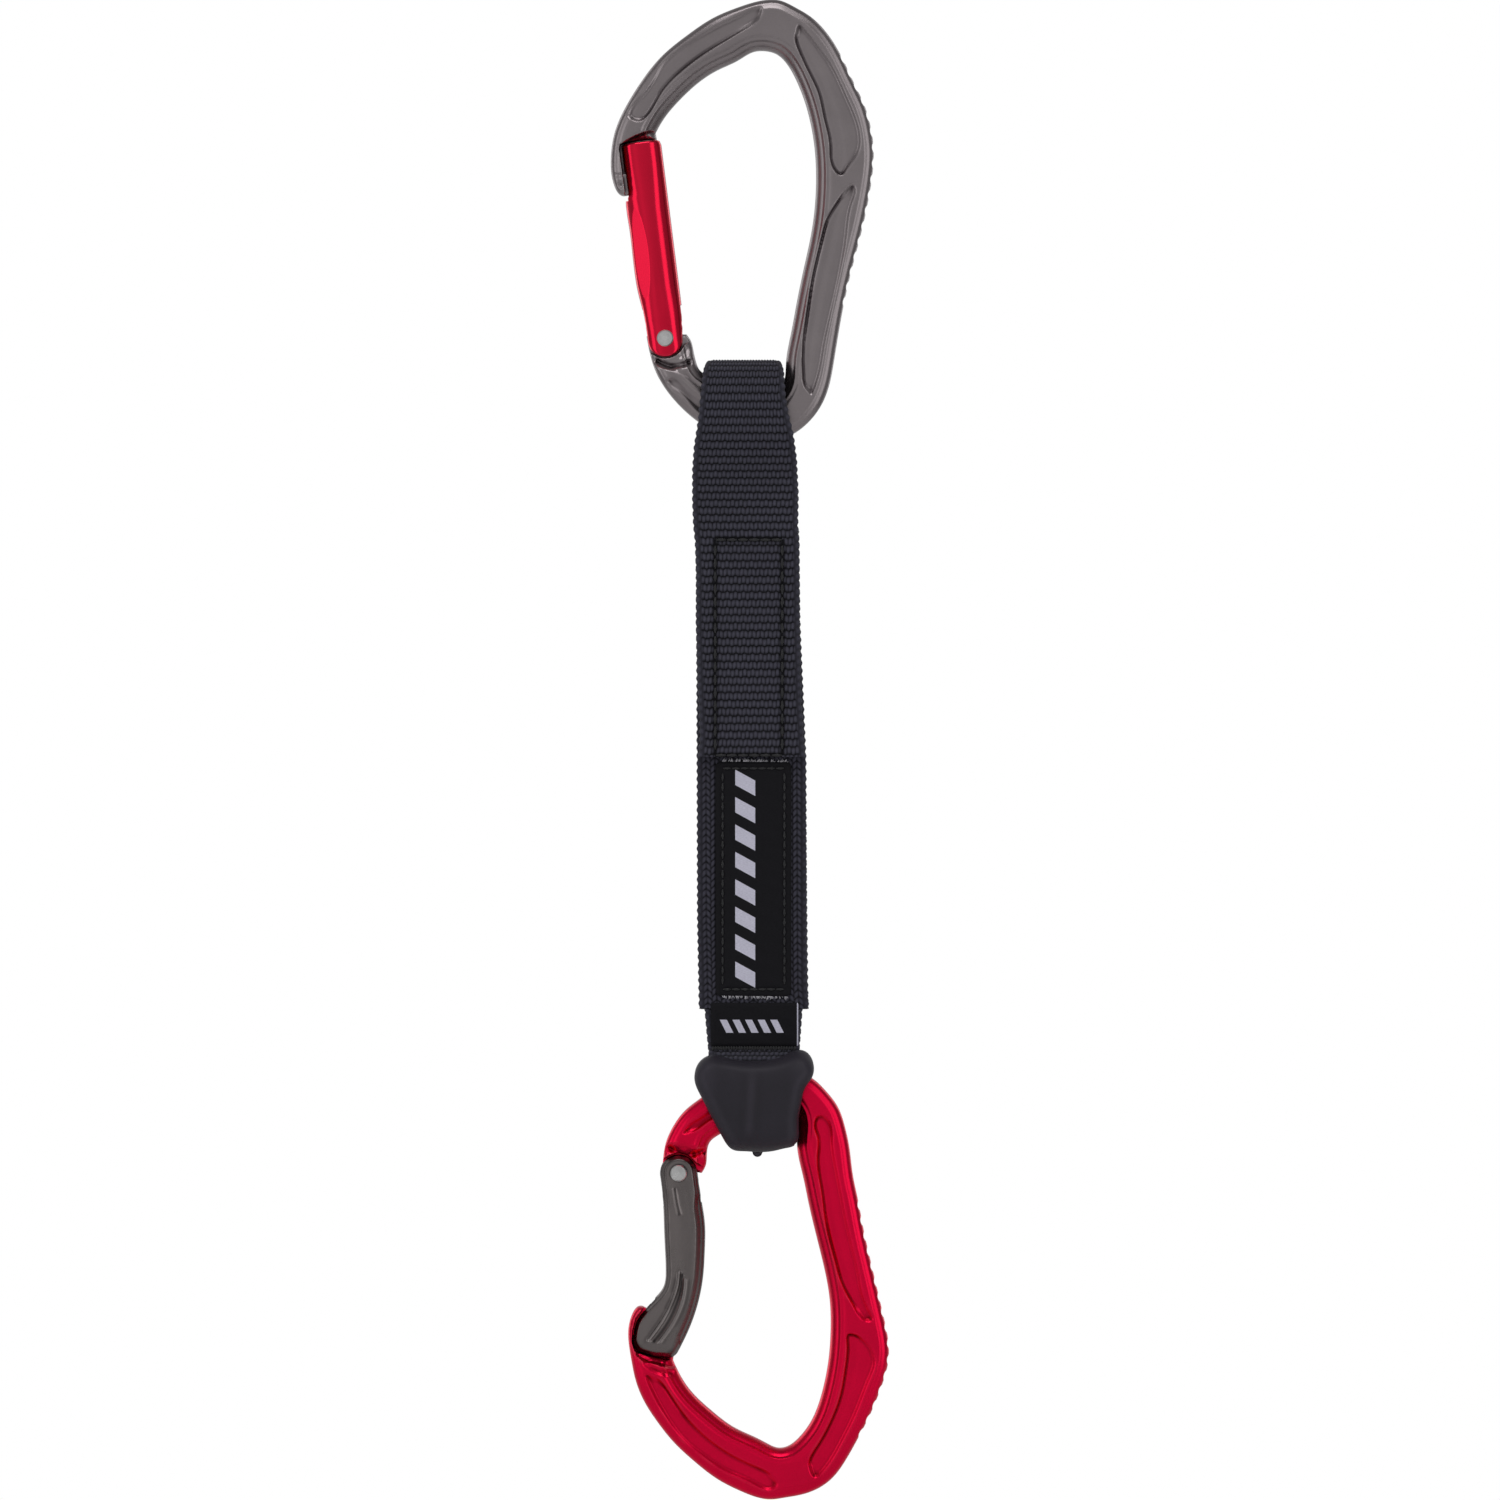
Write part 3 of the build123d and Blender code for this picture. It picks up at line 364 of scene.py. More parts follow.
# ---------------------------------------------------------------- materials
class Nodes:
    """Small helper that adds and joins the nodes of a material or a world."""

    def __init__(self, owner):
        owner.use_nodes = True
        self.tree = owner.node_tree

    def add(self, kind, inputs=None, **settings):
        """Adds a node; an input given as another node's output is joined to it."""
        node = self.tree.nodes.new(kind)
        for key, value in settings.items():
            setattr(node, key, value)
        for key, value in (inputs or {}).items():
            if isinstance(value, bpy.types.NodeSocket):
                self.tree.links.new(value, node.inputs[key])
            else:
                node.inputs[key].default_value = value
        return node

    def place(self, kind="Object"):
        return self.add("ShaderNodeTexCoord").outputs[kind]

    def split(self, vector):
        return self.add("ShaderNodeSeparateXYZ", {"Vector": vector}).outputs

    def stretch(self, vector, *scale):
        return self.add("ShaderNodeMapping", {"Vector": vector, "Scale": scale}).outputs[0]

    def noise(self, vector, scale, detail=3.0, roughness=0.5):
        inputs = {"Vector": vector, "Scale": scale, "Detail": detail, "Roughness": roughness}
        return self.add("ShaderNodeTexNoise", inputs).outputs["Fac"]

    def ramp(self, value, *stops):
        node = self.add("ShaderNodeValToRGB", {"Fac": value})
        ramp = node.color_ramp
        while len(ramp.elements) < len(stops):
            ramp.elements.new(0.5)
        for element, (position, colour) in zip(ramp.elements, stops):
            element.position = position
            element.color = (*colour, 1) if isinstance(colour, tuple) else (colour, colour, colour, 1)
        return node.outputs["Color"]

    def mix(self, share, a, b, blend="MIX"):
        node = self.add("ShaderNodeMix", data_type="RGBA", blend_type=blend)
        for socket, value in (("Factor", share), (6, a), (7, b)):
            if isinstance(value, bpy.types.NodeSocket):
                self.tree.links.new(value, node.inputs[socket])
            else:
                node.inputs[socket].default_value = value
        return node.outputs[2]

    def math(self, operation, *values):
        return self.add("ShaderNodeMath", dict(enumerate(values)), operation=operation).outputs[0]


class Shader(Nodes):
    """A new material, with its Principled shader as base."""

    def __init__(self, name):
        self.material = bpy.data.materials.new(name)
        super().__init__(self.material)
        self.base = self.tree.nodes["Principled BSDF"]

    def join(self, output, socket):
        self.tree.links.new(output, self.base.inputs[socket])

    def set(self, **values):
        for key, value in values.items():
            self.base.inputs[key.replace("_", " ")].default_value = value

    def attribute(self, name):
        return self.add("ShaderNodeAttribute", attribute_name=name).outputs["Fac"]

    def mottle(self, share, shade, pattern, low, start=0.3):
        """Darkens a colour where a pattern is low."""
        return self.mix(share, shade, self.ramp(pattern, (start, low), (0.7, 1.0)), "MULTIPLY")

    def bump(self, height, strength, distance):
        node = self.add("ShaderNodeBump", {"Height": height, "Strength": strength, "Distance": distance})
        self.join(node.outputs["Normal"], "Normal")


def anodised(name, dark, main, light, rough=(0.27, 0.36), coat=0.12):
    """Dyed and sealed forged aluminium: satin, with painted shade in the hollows and ridges paler with wear
    and painted highlight.
    """
    s = Shader(name)
    where = s.place()
    cloud = s.noise(where, 90.0, 4.0, 0.6)
    grain = s.noise(where, 2600.0, 2.0, 0.6)
    # painted shade darkens the hollows, and painted highlight with some wear lightens the ridges, by the
    # cavity attribute
    shade = s.ramp(s.attribute("cavity"), (0.22, light), (0.41, main), (0.54, main), (0.66, dark))
    shade = s.mottle(0.22, shade, cloud, 0.62)
    shade = s.mottle(0.12, shade, grain, 0.55)
    s.join(shade, "Base Color")
    s.join(s.ramp(cloud, (0.25, rough[0]), (0.75, rough[1])), "Roughness")
    s.set(Metallic=1.0, Coat_Weight=coat, Coat_Roughness=0.2, Coat_IOR=1.45)
    s.bump(grain, 0.10, 0.00004)
    return s.material


def steel(name, tone):
    """Turned steel: fine rings of tool marks and faint grey stains."""
    s = Shader(name)
    where = s.place()
    stain = s.noise(where, 700.0, 3.0, 0.6)
    marks = s.noise(s.stretch(where, 1, 12, 1), 3000.0, 2.0)
    s.join(s.ramp(stain, (0.3, tone * 0.75), (0.7, tone)), "Base Color")
    s.join(s.ramp(stain, (0.3, 0.38), (0.7, 0.26)), "Roughness")
    s.set(Metallic=1.0)
    s.bump(marks, 0.12, 0.00003)
    return s.material


def cloth(name, dark, light):
    """Woven polymer tape: the yarns are in the mesh; their fibres, and the shade painted into the gaps
    between them, are here.
    """
    s = Shader(name)
    where = s.place("UV")
    fibre = s.noise(s.stretch(where, 900, 260, 1), 1.0, 3.0, 0.65)
    cloud = s.noise(where, 60.0, 3.0, 0.6)
    between = tuple((a + b) / 2 for a, b in zip(dark, light))
    # painted shade: darker where the yarns lie low, in the gaps between them and along pressed seams
    shade = s.ramp(s.attribute("height"), (0.30, dark), (0.62, between), (0.92, light))
    shade = s.mottle(0.35, shade, fibre, 0.45)
    s.join(s.mottle(0.25, shade, cloud, 0.6, 0.35), "Base Color")
    s.join(s.ramp(fibre, (0.2, 0.72), (0.8, 0.90)), "Roughness")
    s.set(Sheen_Weight=0.10, Sheen_Roughness=0.5, Specular_IOR_Level=0.18)
    s.bump(fibre, 0.5, 0.00008)
    return s.material


def moulded_rubber(name):
    """Matt moulded rubber with a faint bloom and fine texture, painted shade in its hollows and painted
    highlight on its ridges.
    """
    s = Shader(name)
    where = s.place()
    cloud = s.noise(where, 120.0, 5.0, 0.65)
    grain = s.noise(where, 2200.0, 3.0, 0.6)
    # painted shade in the hollows and painted highlight on the ridges, by the cavity attribute
    shade = s.ramp(s.attribute("cavity"), (0.38, (0.046, 0.040, 0.056)), (0.5, (0.0215, 0.0185, 0.0275)),
                   (0.6, (0.008, 0.008, 0.010)))
    s.join(s.mottle(0.45, shade, cloud, 0.55), "Base Color")
    s.join(s.ramp(cloud, (0.3, 0.50), (0.7, 0.62)), "Roughness")
    s.set(Specular_IOR_Level=0.30)
    s.bump(grain, 0.25, 0.00006)
    return s.material


def woven_label(name, centre, half, first, dashes, pitch, slant, upright=True, fold=None):
    """Black damask label: fine horizontal picks, with a plain row of slanted dashes.
    Lengths are in UV millimetres: the row's centre, its half width, its first dash and its
    pitch. The row is upright or lies across, and past the fold the label's pale back shows."""
    s = Shader(name)
    where = s.place("UV")
    u, v = s.split(where)[:2]
    along, side = (v, u) if upright else (u, v)
    across = s.math("SUBTRACT", side, centre)
    inside = s.math("LESS_THAN", s.math("ABSOLUTE", across), half)
    run = s.math("ADD", along, s.math("MULTIPLY", across, slant))
    phase = s.math("FRACT", s.math("DIVIDE", s.math("SUBTRACT", run, first), pitch))
    dash = s.math("LESS_THAN", phase, 0.56)
    last = first + dashes * pitch
    within = s.math("MULTIPLY", s.math("GREATER_THAN", run, first), s.math("LESS_THAN", run, last))
    mask = s.math("MULTIPLY", s.math("MULTIPLY", inside, dash), within)
    pick = s.noise(s.stretch(where, 1.6, 9.0, 1), 1.0, 2.0, 0.6)
    ground = s.ramp(pick, (0.3, (0.0022, 0.0022, 0.0032)), (0.7, (0.0085, 0.0080, 0.0115)))
    mark = s.ramp(pick, (0.3, (0.50, 0.49, 0.60)), (0.7, (0.70, 0.69, 0.82)))
    if fold:
        mask = s.math("MAXIMUM", mask, s.math("GREATER_THAN", u, fold))
    s.join(s.mix(mask, ground, mark), "Base Color")
    s.join(s.ramp(pick, (0.2, 0.62), (0.8, 0.8)), "Roughness")
    s.set(Sheen_Weight=0.05, Specular_IOR_Level=0.16)
    s.bump(pick, 0.5, 0.00008)
    return s.material


def thread_material(name, dark, light):
    s = Shader(name)
    twist = s.noise(s.place(), 1500.0, 3.0, 0.6)
    s.join(s.ramp(twist, (0.3, dark), (0.7, light)), "Base Color")
    s.join(s.ramp(twist, (0.3, 0.5), (0.7, 0.75)), "Roughness")
    s.set(Sheen_Weight=0.2)
    s.bump(twist, 0.4, 0.00006)
    return s.material


# colours of the painted shade in hollows, of faces, and of ridges paler with wear and painted highlight
GREY = anodised("grey_anodised", (0.080, 0.066, 0.072), (0.310, 0.275, 0.284), (0.42, 0.385, 0.39))
RED_GATE = anodised("red_gate_anodised", (0.30, 0.0, 0.008), (0.86, 0.0015, 0.042), (0.95, 0.05, 0.11),
                    rough=(0.15, 0.22), coat=0.35)
RED_BODY = anodised("red_body_anodised", (0.26, 0.0, 0.006), (0.88, 0.0012, 0.050), (0.95, 0.04, 0.10))
GUNMETAL = anodised("gunmetal_anodised", (0.035, 0.029, 0.030), (0.190, 0.168, 0.166), (0.42, 0.38, 0.38),
                    rough=(0.24, 0.32))
RIVET = steel("rivet_steel_turned", 0.72)
SPRING = steel("spring_steel_wire", 0.5)
WEBBING = cloth("webbing_navy_grey", (0.0022, 0.0021, 0.0042), (0.072, 0.070, 0.098))
CORE = cloth("core_webbing_navy_grey", (0.0022, 0.0021, 0.0042), (0.060, 0.058, 0.082))
RUBBER = moulded_rubber("keeper_rubber")
THREAD = thread_material("sewing_thread_dark", (0.0025, 0.0025, 0.0035), (0.010, 0.010, 0.014))
PALE_THREAD = thread_material("frayed_ends_pale", (0.25, 0.24, 0.27), (0.62, 0.61, 0.66))


# ---------------------------------------------------------------- carabiner bodies
def gate_frame(rivet, tilt, side):
    """Rivet, direction towards the spine and direction along the gate, in the front view.
    side is -1 for a gate that rises from its rivet and 1 for one that hangs from it."""
    lean = math.radians(tilt)
    across = np.array([math.cos(lean), math.sin(lean)])
    return np.array([rivet[0], rivet[2]]), across, side * np.array([math.sin(lean), -math.cos(lean)])


def in_view(gate, points):
    """Points given along a gate's own axes, in the front view."""
    rivet, across, up = gate
    return np.array([rivet + p[0] * across + p[1] * up for p in points])


UPPER_GATE_FRAME = gate_frame(UPPER_RIVET, UPPER_TILT, -1)
LOWER_GATE_FRAME = gate_frame(LOWER_RIVET, LOWER_TILT, 1)

NECK_HALF, BULB_HALF, TANG_HALF = 1.3, 2.2, 2.0
TANG_RADIUS, RECESS_RADIUS, HOLE_RADIUS = 4.1, 4.65, 1.56
RIM, INNER_RIM = 2.5, 3.4         # rounding of the outer and the inner long edges
LEDGE, LEDGE_DROP = 2.1, 0.5     # step that follows the inner edge
POCKET_DEPTH, SHELF_DEPTH = 0.8, 1.5
DIMPLE_DEPTH, DIMPLE_WIDTH = 0.6, 0.7
GRIP_RADIUS, GRIP_DEPTH, GRIP_PITCH = 2.4, 0.35, 3.6
HINGE_DROP = 1.3                  # how much thinner the body's face is round the rivet
HINGE_NEAR, HINGE_FAR = 5.2, 7.4
# room beside the tang for the gate's heel as it opens, in the gate's axes
HEEL_ROOM = [(4.2, -2.2), (5.0, -1.6), (6.2, -0.1), (7.1, 1.4), (7.1, 3.0), (4.2, 3.0)]
BODY_STEP = 0.21

# Each body's outline: its outer side from the nose to the tang, its inner side back to the
# nose, and the nose's end. Then what is cut into it: a shelf at the nose, pockets, grooves
# as (line, depth, width), and room for the gate in the gate's own axes.
UPPER = {
    "outer": [
        (-29.2, -31.0), (-30.6, -32.9), (-32.6, -33.3), (-34.5, -30.8), (-35.2, -25.8), (-34.4, -19.3),
        (-31.7, -12.9), (-28.1, -7.1), (-23.5, -1.4), (-17.7, 3.4), (-11.7, 7.4), (-5.8, 9.9), (0.0, 11.5),
        (3.4, 11.5), (7.1, 9.9), (10.6, 7.8), (13.6, 5.0), (17.7, -1.2), (20.5, -7.1), (23.0, -12.4),
        (24.4, -17.0), (25.2, -22.6), (25.1, -27.0), (24.4, -32.2), (23.0, -39.3), (20.0, -51.1),
        (18.4, -58.2), (16.1, -71.5), (14.7, -78.0), (12.9, -82.0), (9.6, -86.0), (5.6, -88.7),
        (-3.2, -90.2), (-12.5, -87.0), (-20.5, -80.4), (-25.2, -73.0), (-27.0, -65.6),
    ],
    "inner": [
        (-17.8, -65.2), (-16.8, -66.7), (-16.3, -68.5), (-15.7, -71.2), (-14.8, -73.4), (-13.0, -74.8),
        (-9.0, -76.9), (-3.5, -79.0), (1.2, -80.0), (4.2, -77.2), (5.1, -71.5), (6.2, -65.1), (7.4, -58.7),
        (9.2, -49.9), (10.6, -43.5), (11.7, -35.9), (12.0, -29.4), (11.7, -22.8), (10.8, -17.0), (9.4, -11.7),
        (7.6, -7.1), (5.3, -3.0), (3.0, -0.8), (0.0, 0.0), (-2.3, -0.2), (-5.8, -2.1), (-10.6, -4.4),
        (-15.2, -7.4), (-19.3, -11.2), (-23.4, -16.2), (-24.9, -18.9),
    ],
    "end": [(-24.5, -21.0), (-26.8, -21.2), (-29.2, -21.45)],
    "shelf": [(-32.9, -21.8), (-30.7, -20.1), (-28.3, -19.1), (-26.5, -18.5), (-24.4, -18.9), (-23.0, -22.5),
              (-30.0, -23.0)],
    "pockets": [
        [(-0.2, 9.4), (-5.8, 8.3), (-11.7, 5.5), (-17.7, 1.8), (-23.5, -3.0), (-28.1, -9.9), (-31.1, -15.7),
         (-29.6, -16.6), (-26.5, -14.9), (-23.5, -9.9), (-19.3, -5.3), (-14.0, -1.2), (-8.7, 2.1),
         (-3.5, 5.1), (-0.7, 7.3)],
        [(8.3, 6.2), (7.1, 3.5), (7.6, 0.7), (10.3, -5.3), (12.4, -9.9), (13.8, -15.9), (15.0, -21.6),
         (16.0, -27.4), (17.7, -28.8), (19.3, -27.4), (22.2, -23.0), (22.3, -18.9), (19.3, -10.6),
         (15.9, -3.5), (11.7, 2.3), (9.1, 5.5)],
        [(20.9, -30.9), (17.0, -34.5), (14.7, -38.2), (12.4, -45.8), (10.8, -52.9), (9.7, -60.5),
         (8.7, -70.4), (8.8, -74.4), (9.8, -78.4), (10.8, -79.4), (12.2, -77.3), (14.3, -67.6),
         (16.4, -58.5), (18.2, -49.9), (19.3, -42.8), (20.6, -35.2), (21.3, -31.8)],
        [(-22.4, -75.8), (-21.0, -75.0), (-17.5, -77.2), (-13.4, -80.2), (-9.6, -83.6), (-12.4, -84.4),
         (-16.5, -82.2), (-20.2, -78.6)],
    ],
    "grooves": [([(-24.3, -71.4), (-22.6, -72.4), (-20.0, -72.5), (-17.4, -71.8)], 1.3, 0.7),
                ([(-21.2, -73.0), (-18.2, -74.6), (-15.0, -77.2), (-11.0, -79.8)], 0.35, 0.6),
                ([(-35.4, -28.7), (-31.4, -29.0)], 0.28, 0.5)],
    "dimple": (-32.6, -30.9),
    "grip": (-2.0, -60.0),
    "gate": UPPER_GATE_FRAME,
    "neck_start": 38.6,
    "room": [(-5.9, 28.0), (-5.1, 33.9), (-5.25, 44.4), (-4.9, 45.5), (-3.75, 45.8), (3.75, 45.8),
             (5.2, 44.5),
             (5.2, 28.0)],
    "reach": 45.95,
    "tip_corner": (-3.7, 38.6),
}
LOWER = {
    "outer": [
        (-25.8, -292.0), (-26.8, -289.4), (-28.6, -288.7), (-30.4, -290.8), (-31.2, -294.6), (-30.6, -300.2),
        (-29.4, -305.9), (-27.5, -310.5), (-24.4, -315.3), (-20.7, -319.9), (-16.2, -324.1),
        (-10.6, -328.4), (-5.1, -331.2), (1.6, -333.0), (4.8, -332.6), (8.2, -332.0), (12.4, -330.5),
        (15.6, -328.2), (18.9, -323.8), (21.6, -319.0), (24.4, -313.5), (27.1, -306.8), (28.5, -301.8),
        (28.7, -297.9), (27.6, -291.4), (26.5, -286.6), (24.6, -278.5), (23.0, -271.4), (21.4, -263.1),
        (20.5, -258.8), (19.6, -251.9), (18.6, -247.3), (17.0, -242.9), (14.3, -239.3), (11.2, -236.4),
        (8.0, -234.9), (0.2, -233.7), (-7.5, -235.9), (-14.4, -240.8), (-18.1, -243.7), (-21.0, -247.6),
        (-22.6, -251.3), (-23.3, -256.4),
    ],
    "inner": [
        (-14.3, -258.1), (-13.4, -256.4), (-13.1, -253.5), (-12.4, -250.9), (-10.2, -249.2), (-6.0, -246.6),
        (0.0, -243.6), (4.8, -242.2), (7.3, -244.6), (7.6, -250.6), (9.0, -258.9), (10.1, -264.2),
        (12.4, -273.9), (14.1, -281.0), (15.1, -287.0), (15.3, -295.3), (14.9, -300.6), (13.5, -308.0),
        (10.6, -315.6), (7.8, -319.2), (5.3, -321.0), (3.2, -321.3), (0.9, -320.4), (-1.8, -319.0),
        (-6.7, -316.7), (-12.0, -312.8), (-16.8, -308.2), (-20.0, -303.1), (-20.9, -301.0),
    ],
    "end": [(-20.7, -300.1), (-23.2, -300.1), (-25.8, -299.7)],
    "shelf": [(-29.6, -299.4), (-27.6, -301.3), (-25.4, -301.9), (-23.0, -302.6), (-20.6, -303.0),
              (-19.0, -299.0), (-25.0, -298.0)],
    "pockets": [
        [(13.1, -244.3), (11.5, -247.2), (12.2, -249.4), (12.2, -254.2), (13.0, -261.3), (14.5, -271.4),
         (16.3, -278.3), (18.3, -284.5), (20.6, -288.7), (23.7, -292.3), (25.1, -292.0), (24.3, -289.0),
         (22.1, -281.1), (20.0, -272.1), (18.4, -264.3), (17.0, -256.9), (16.1, -250.7), (14.9, -245.4)],
        [(19.2, -295.0), (21.6, -295.2), (25.5, -299.5), (25.8, -301.5), (24.7, -305.0), (21.6, -312.8),
         (17.5, -321.1), (14.3, -326.1), (11.5, -328.1), (10.2, -325.6), (10.8, -322.8), (12.4, -320.2),
         (15.4, -314.6), (17.5, -308.9), (18.6, -302.7), (19.0, -297.0)],
        [(-27.2, -303.9), (-24.7, -304.9), (-21.9, -308.0), (-18.2, -313.4), (-12.9, -318.8), (-6.9, -322.9),
         (-1.8, -325.3), (2.1, -327.5), (3.3, -329.6), (1.6, -331.0), (-2.5, -329.6), (-8.5, -326.9),
         (-14.3, -323.2), (-19.1, -319.2), (-22.8, -314.2), (-26.0, -308.4)],
        [(-18.8, -249.1), (-16.4, -248.6), (-12.6, -246.0), (-9.4, -243.6), (-8.6, -241.2), (-11.6, -242.6),
         (-15.4, -245.2), (-18.4, -247.8)],
    ],
    "grooves": [([(-21.6, -252.2), (-19.6, -253.5), (-17.0, -253.9), (-14.2, -252.9)], 1.2, 0.7),
                ([(-27.0, -301.6), (-25.2, -302.9), (-23.4, -303.6), (-21.2, -303.8)], 0.7, 0.8),
                ([(-31.4, -292.8), (-28.0, -292.2)], 0.28, 0.5)],
    "dimple": None,
    "grip": (-262.0, -318.0),
    "gate": LOWER_GATE_FRAME,
    "neck_start": 36.5,
    "room": [(0.0, 24.5), (-5.9, 25.7), (-8.1, 28.1), (-10.2, 29.9), (-12.5, 32.4), (-13.5, 35.3),
             (-13.85, 38.0), (-13.3, 40.0), (-12.4, 40.6), (-9.7, 41.65), (-6.7, 42.5), (0.0, 42.6)],
    "reach": 42.95,
    "tip_corner": (-7.5, 38.0),
}


def grip_notches(plan, outer, reach):
    """Distance outside the notches down the spine, between two heights."""
    x, z = plan.grid
    along = distances(outer)
    spine = (outer[:, 0] > 10) & (outer[:, 1] < max(reach)) & (outer[:, 1] > min(reach))
    notch = np.full(plan.size, 9.0)
    for distance in np.arange(along[spine].min(), along[spine].max(), GRIP_PITCH):
        here, ahead = [np.array([np.interp(d, along, outer[:, k]) for k in (0, 1)])
                       for d in (distance, distance + 0.5)]
        out = np.array([-(ahead - here)[1], (ahead - here)[0]])
        out /= np.linalg.norm(out) * (1 if out[0] > 0 else -1)
        centre = here + out * (GRIP_RADIUS - GRIP_DEPTH)
        notch = np.minimum(notch, np.hypot(x - centre[0], z - centre[1]) - GRIP_RADIUS)
    return notch


def carabiner(name, spec, body, material, slot):
    """Forged body: rounded ring with a ledge inside, recesses, notched spine, keyed nose and tang."""
    outer, inner = spline(spec["outer"]), spline(spec["inner"])
    outline = np.vstack([outer, inner, spec["end"]])
    plan = plan_round(outline, BODY_STEP)
    x, z = plan.grid
    edge = plan.inside(outline)
    inner_edge, outer_edge = plan.near(inner), plan.near(outer)
    share = step_up(outer_edge - inner_edge, -2.0, 2.0)      # 1 by the inner edge
    height = np.full(plan.size, BODY_HALF)
    height -= LEDGE_DROP * (1 - step_up(inner_edge, LEDGE - 0.35, LEDGE + 0.35))
    height -= 0.22 * ridge(inner_edge - LEDGE - 0.75, 0.45)
    for points in spec["pockets"]:
        # a steep wall with a sharp foot towards the inner edge, and a gentle one outside
        pocket = -plan.inside(spline(points, closed=True))
        height -= POCKET_DEPTH * step_up(pocket, -0.15, 1.15 - 0.75 * share) + 0.15 * share * step_up(pocket,
                                                                                                      0, 2)
        height -= 0.3 * share * ridge(pocket - 0.35, 0.34)
    height -= SHELF_DEPTH * step_up(-plan.inside(spline(spec["shelf"], closed=True)), -0.1, 0.7)
    height -= 0.16 * ridge(outer_edge - 1.5, 0.5)
    for points, depth, width in spec["grooves"]:
        height -= depth * ridge(plan.near(spline(points)), width)
    if spec["dimple"]:
        height -= DIMPLE_DEPTH * ridge(np.hypot(x - spec["dimple"][0], z - spec["dimple"][1]), DIMPLE_WIDTH)
    height = np.minimum(height, BODY_HALF)
    # the gate's own axes; round its rivet the body is thinner
    rivet, across, up = spec["gate"]
    a = (x - rivet[0]) * across[0] + (z - rivet[1]) * across[1]
    b = (x - rivet[0]) * up[0] + (z - rivet[1]) * up[1]
    pivot = np.hypot(a, b)
    height -= HINGE_DROP * (1 - step_up(pivot, HINGE_NEAR, HINGE_FAR))
    corner = spec["tip_corner"]
    swing = np.maximum(pivot - spec["reach"], np.maximum(corner[0] - a, corner[1] - b))
    room = np.minimum(plan.inside(in_view(spec["gate"], spec["room"])), swing)
    heel = plan.inside(in_view(spec["gate"], HEEL_ROOM))
    plan.fields = {
        "edge": edge, "height": height, "round": RIM + (INNER_RIM - RIM) * share,
        "notch": grip_notches(plan, outer, spec["grip"]), "room": room,
        "neck": np.maximum(room, spec["neck_start"] - b), "pivot": pivot,
        "recess": np.minimum(pivot - RECESS_RADIUS, heel),
    }

    def solid(f, y):
        y = np.abs(y)
        ring = rounded(f["edge"], y - f["height"], f["round"])
        ring = np.maximum(ring, -f["notch"])
        ring = cut(ring, f["room"], BULB_HALF - y)
        ring = cut(ring, f["neck"], NECK_HALF - y)
        ring = cut(ring, f["recess"], TANG_HALF - y)
        tang = np.maximum(f["pivot"] - TANG_RADIUS, y - TANG_HALF)
        return np.maximum(np.minimum(ring, tang), HOLE_RADIUS - f["pivot"])

    piece = make_mesh(name, *surface(plan, BODY_HALF, solid))
    store_cavity(piece)
    finish_piece(piece, material, body, slot, body + "_body")


carabiner("upper_body_forged", UPPER, "upper_carabiner", GREY, "body_grey")
carabiner("lower_body_forged", LOWER, "lower_carabiner", RED_BODY, "body_red")


# ---------------------------------------------------------------- gates
GATE_STEP = 0.2
FORK_HALF, FORK_DEPTH = 2.25, 7.2
HINGE_RADIUS = 4.3
SLOT_GAP = 0.35
BAR_WIDTH = 4.85                  # half width at which the bar is as deep as the gate
PAD_LEAN = math.radians(34)       # the thumb pad faces this far round from the front
PAD_OUT, PAD_CUT = 5.0, 0.46      # where the pad's plane leaves the bar, and how far it cuts in
PAD_MIDDLE, PAD_REACH = 20.5, 10.5


def gate_place(gate):
    """Moves points from a gate's own axes (across, y, along) to the row frame."""
    rivet, across, up = gate

    def place(p):
        flat = rivet + p[:, :1] * across + p[:, 2:] * up
        return np.stack([flat[:, 0], p[:, 1], flat[:, 1]], 1)
    return place


def gate_cuts(f, y, value, neck, bulb, groove):
    """Takes the keyhole for the nose, a groove for the body's tongue, the fork slot and the rivet's
    hole out of a gate. groove is the radius about the rivet beyond which the tip is grooved."""
    a, b = f["a"], f["b"]
    for box, half in ((neck, NECK_HALF), (bulb, BULB_HALF)):
        zone = np.maximum(np.maximum(box[0] - a, a - box[2]), np.maximum(box[1] - b, b - box[3]))
        value = cut(value, zone, y - half - SLOT_GAP)
    away = np.hypot(a, b)
    value = cut(value, groove - away, y - NECK_HALF - SLOT_GAP)
    value = cut(value, b - FORK_DEPTH, y - FORK_HALF)
    return np.maximum(value, HOLE_RADIUS - away)


def gate_plan(*sides):
    """Plan with a gate's own axes, from the hinge's round end and the sides that follow it."""
    outline = np.vstack([arc((0, 0), HINGE_RADIUS, 180, 360), *sides])
    plan = plan_round(outline, GATE_STEP)
    plan.fields = {"a": plan.grid[0], "b": plan.grid[1], "edge": plan.inside(outline)}
    return plan


def gate_piece(name, plan, solid, gate, material, node, slot):
    piece = make_mesh(name, *surface(plan, GATE_HALF, solid), gate_place(gate))
    store_cavity(piece)
    finish_piece(piece, material, node, slot, node)


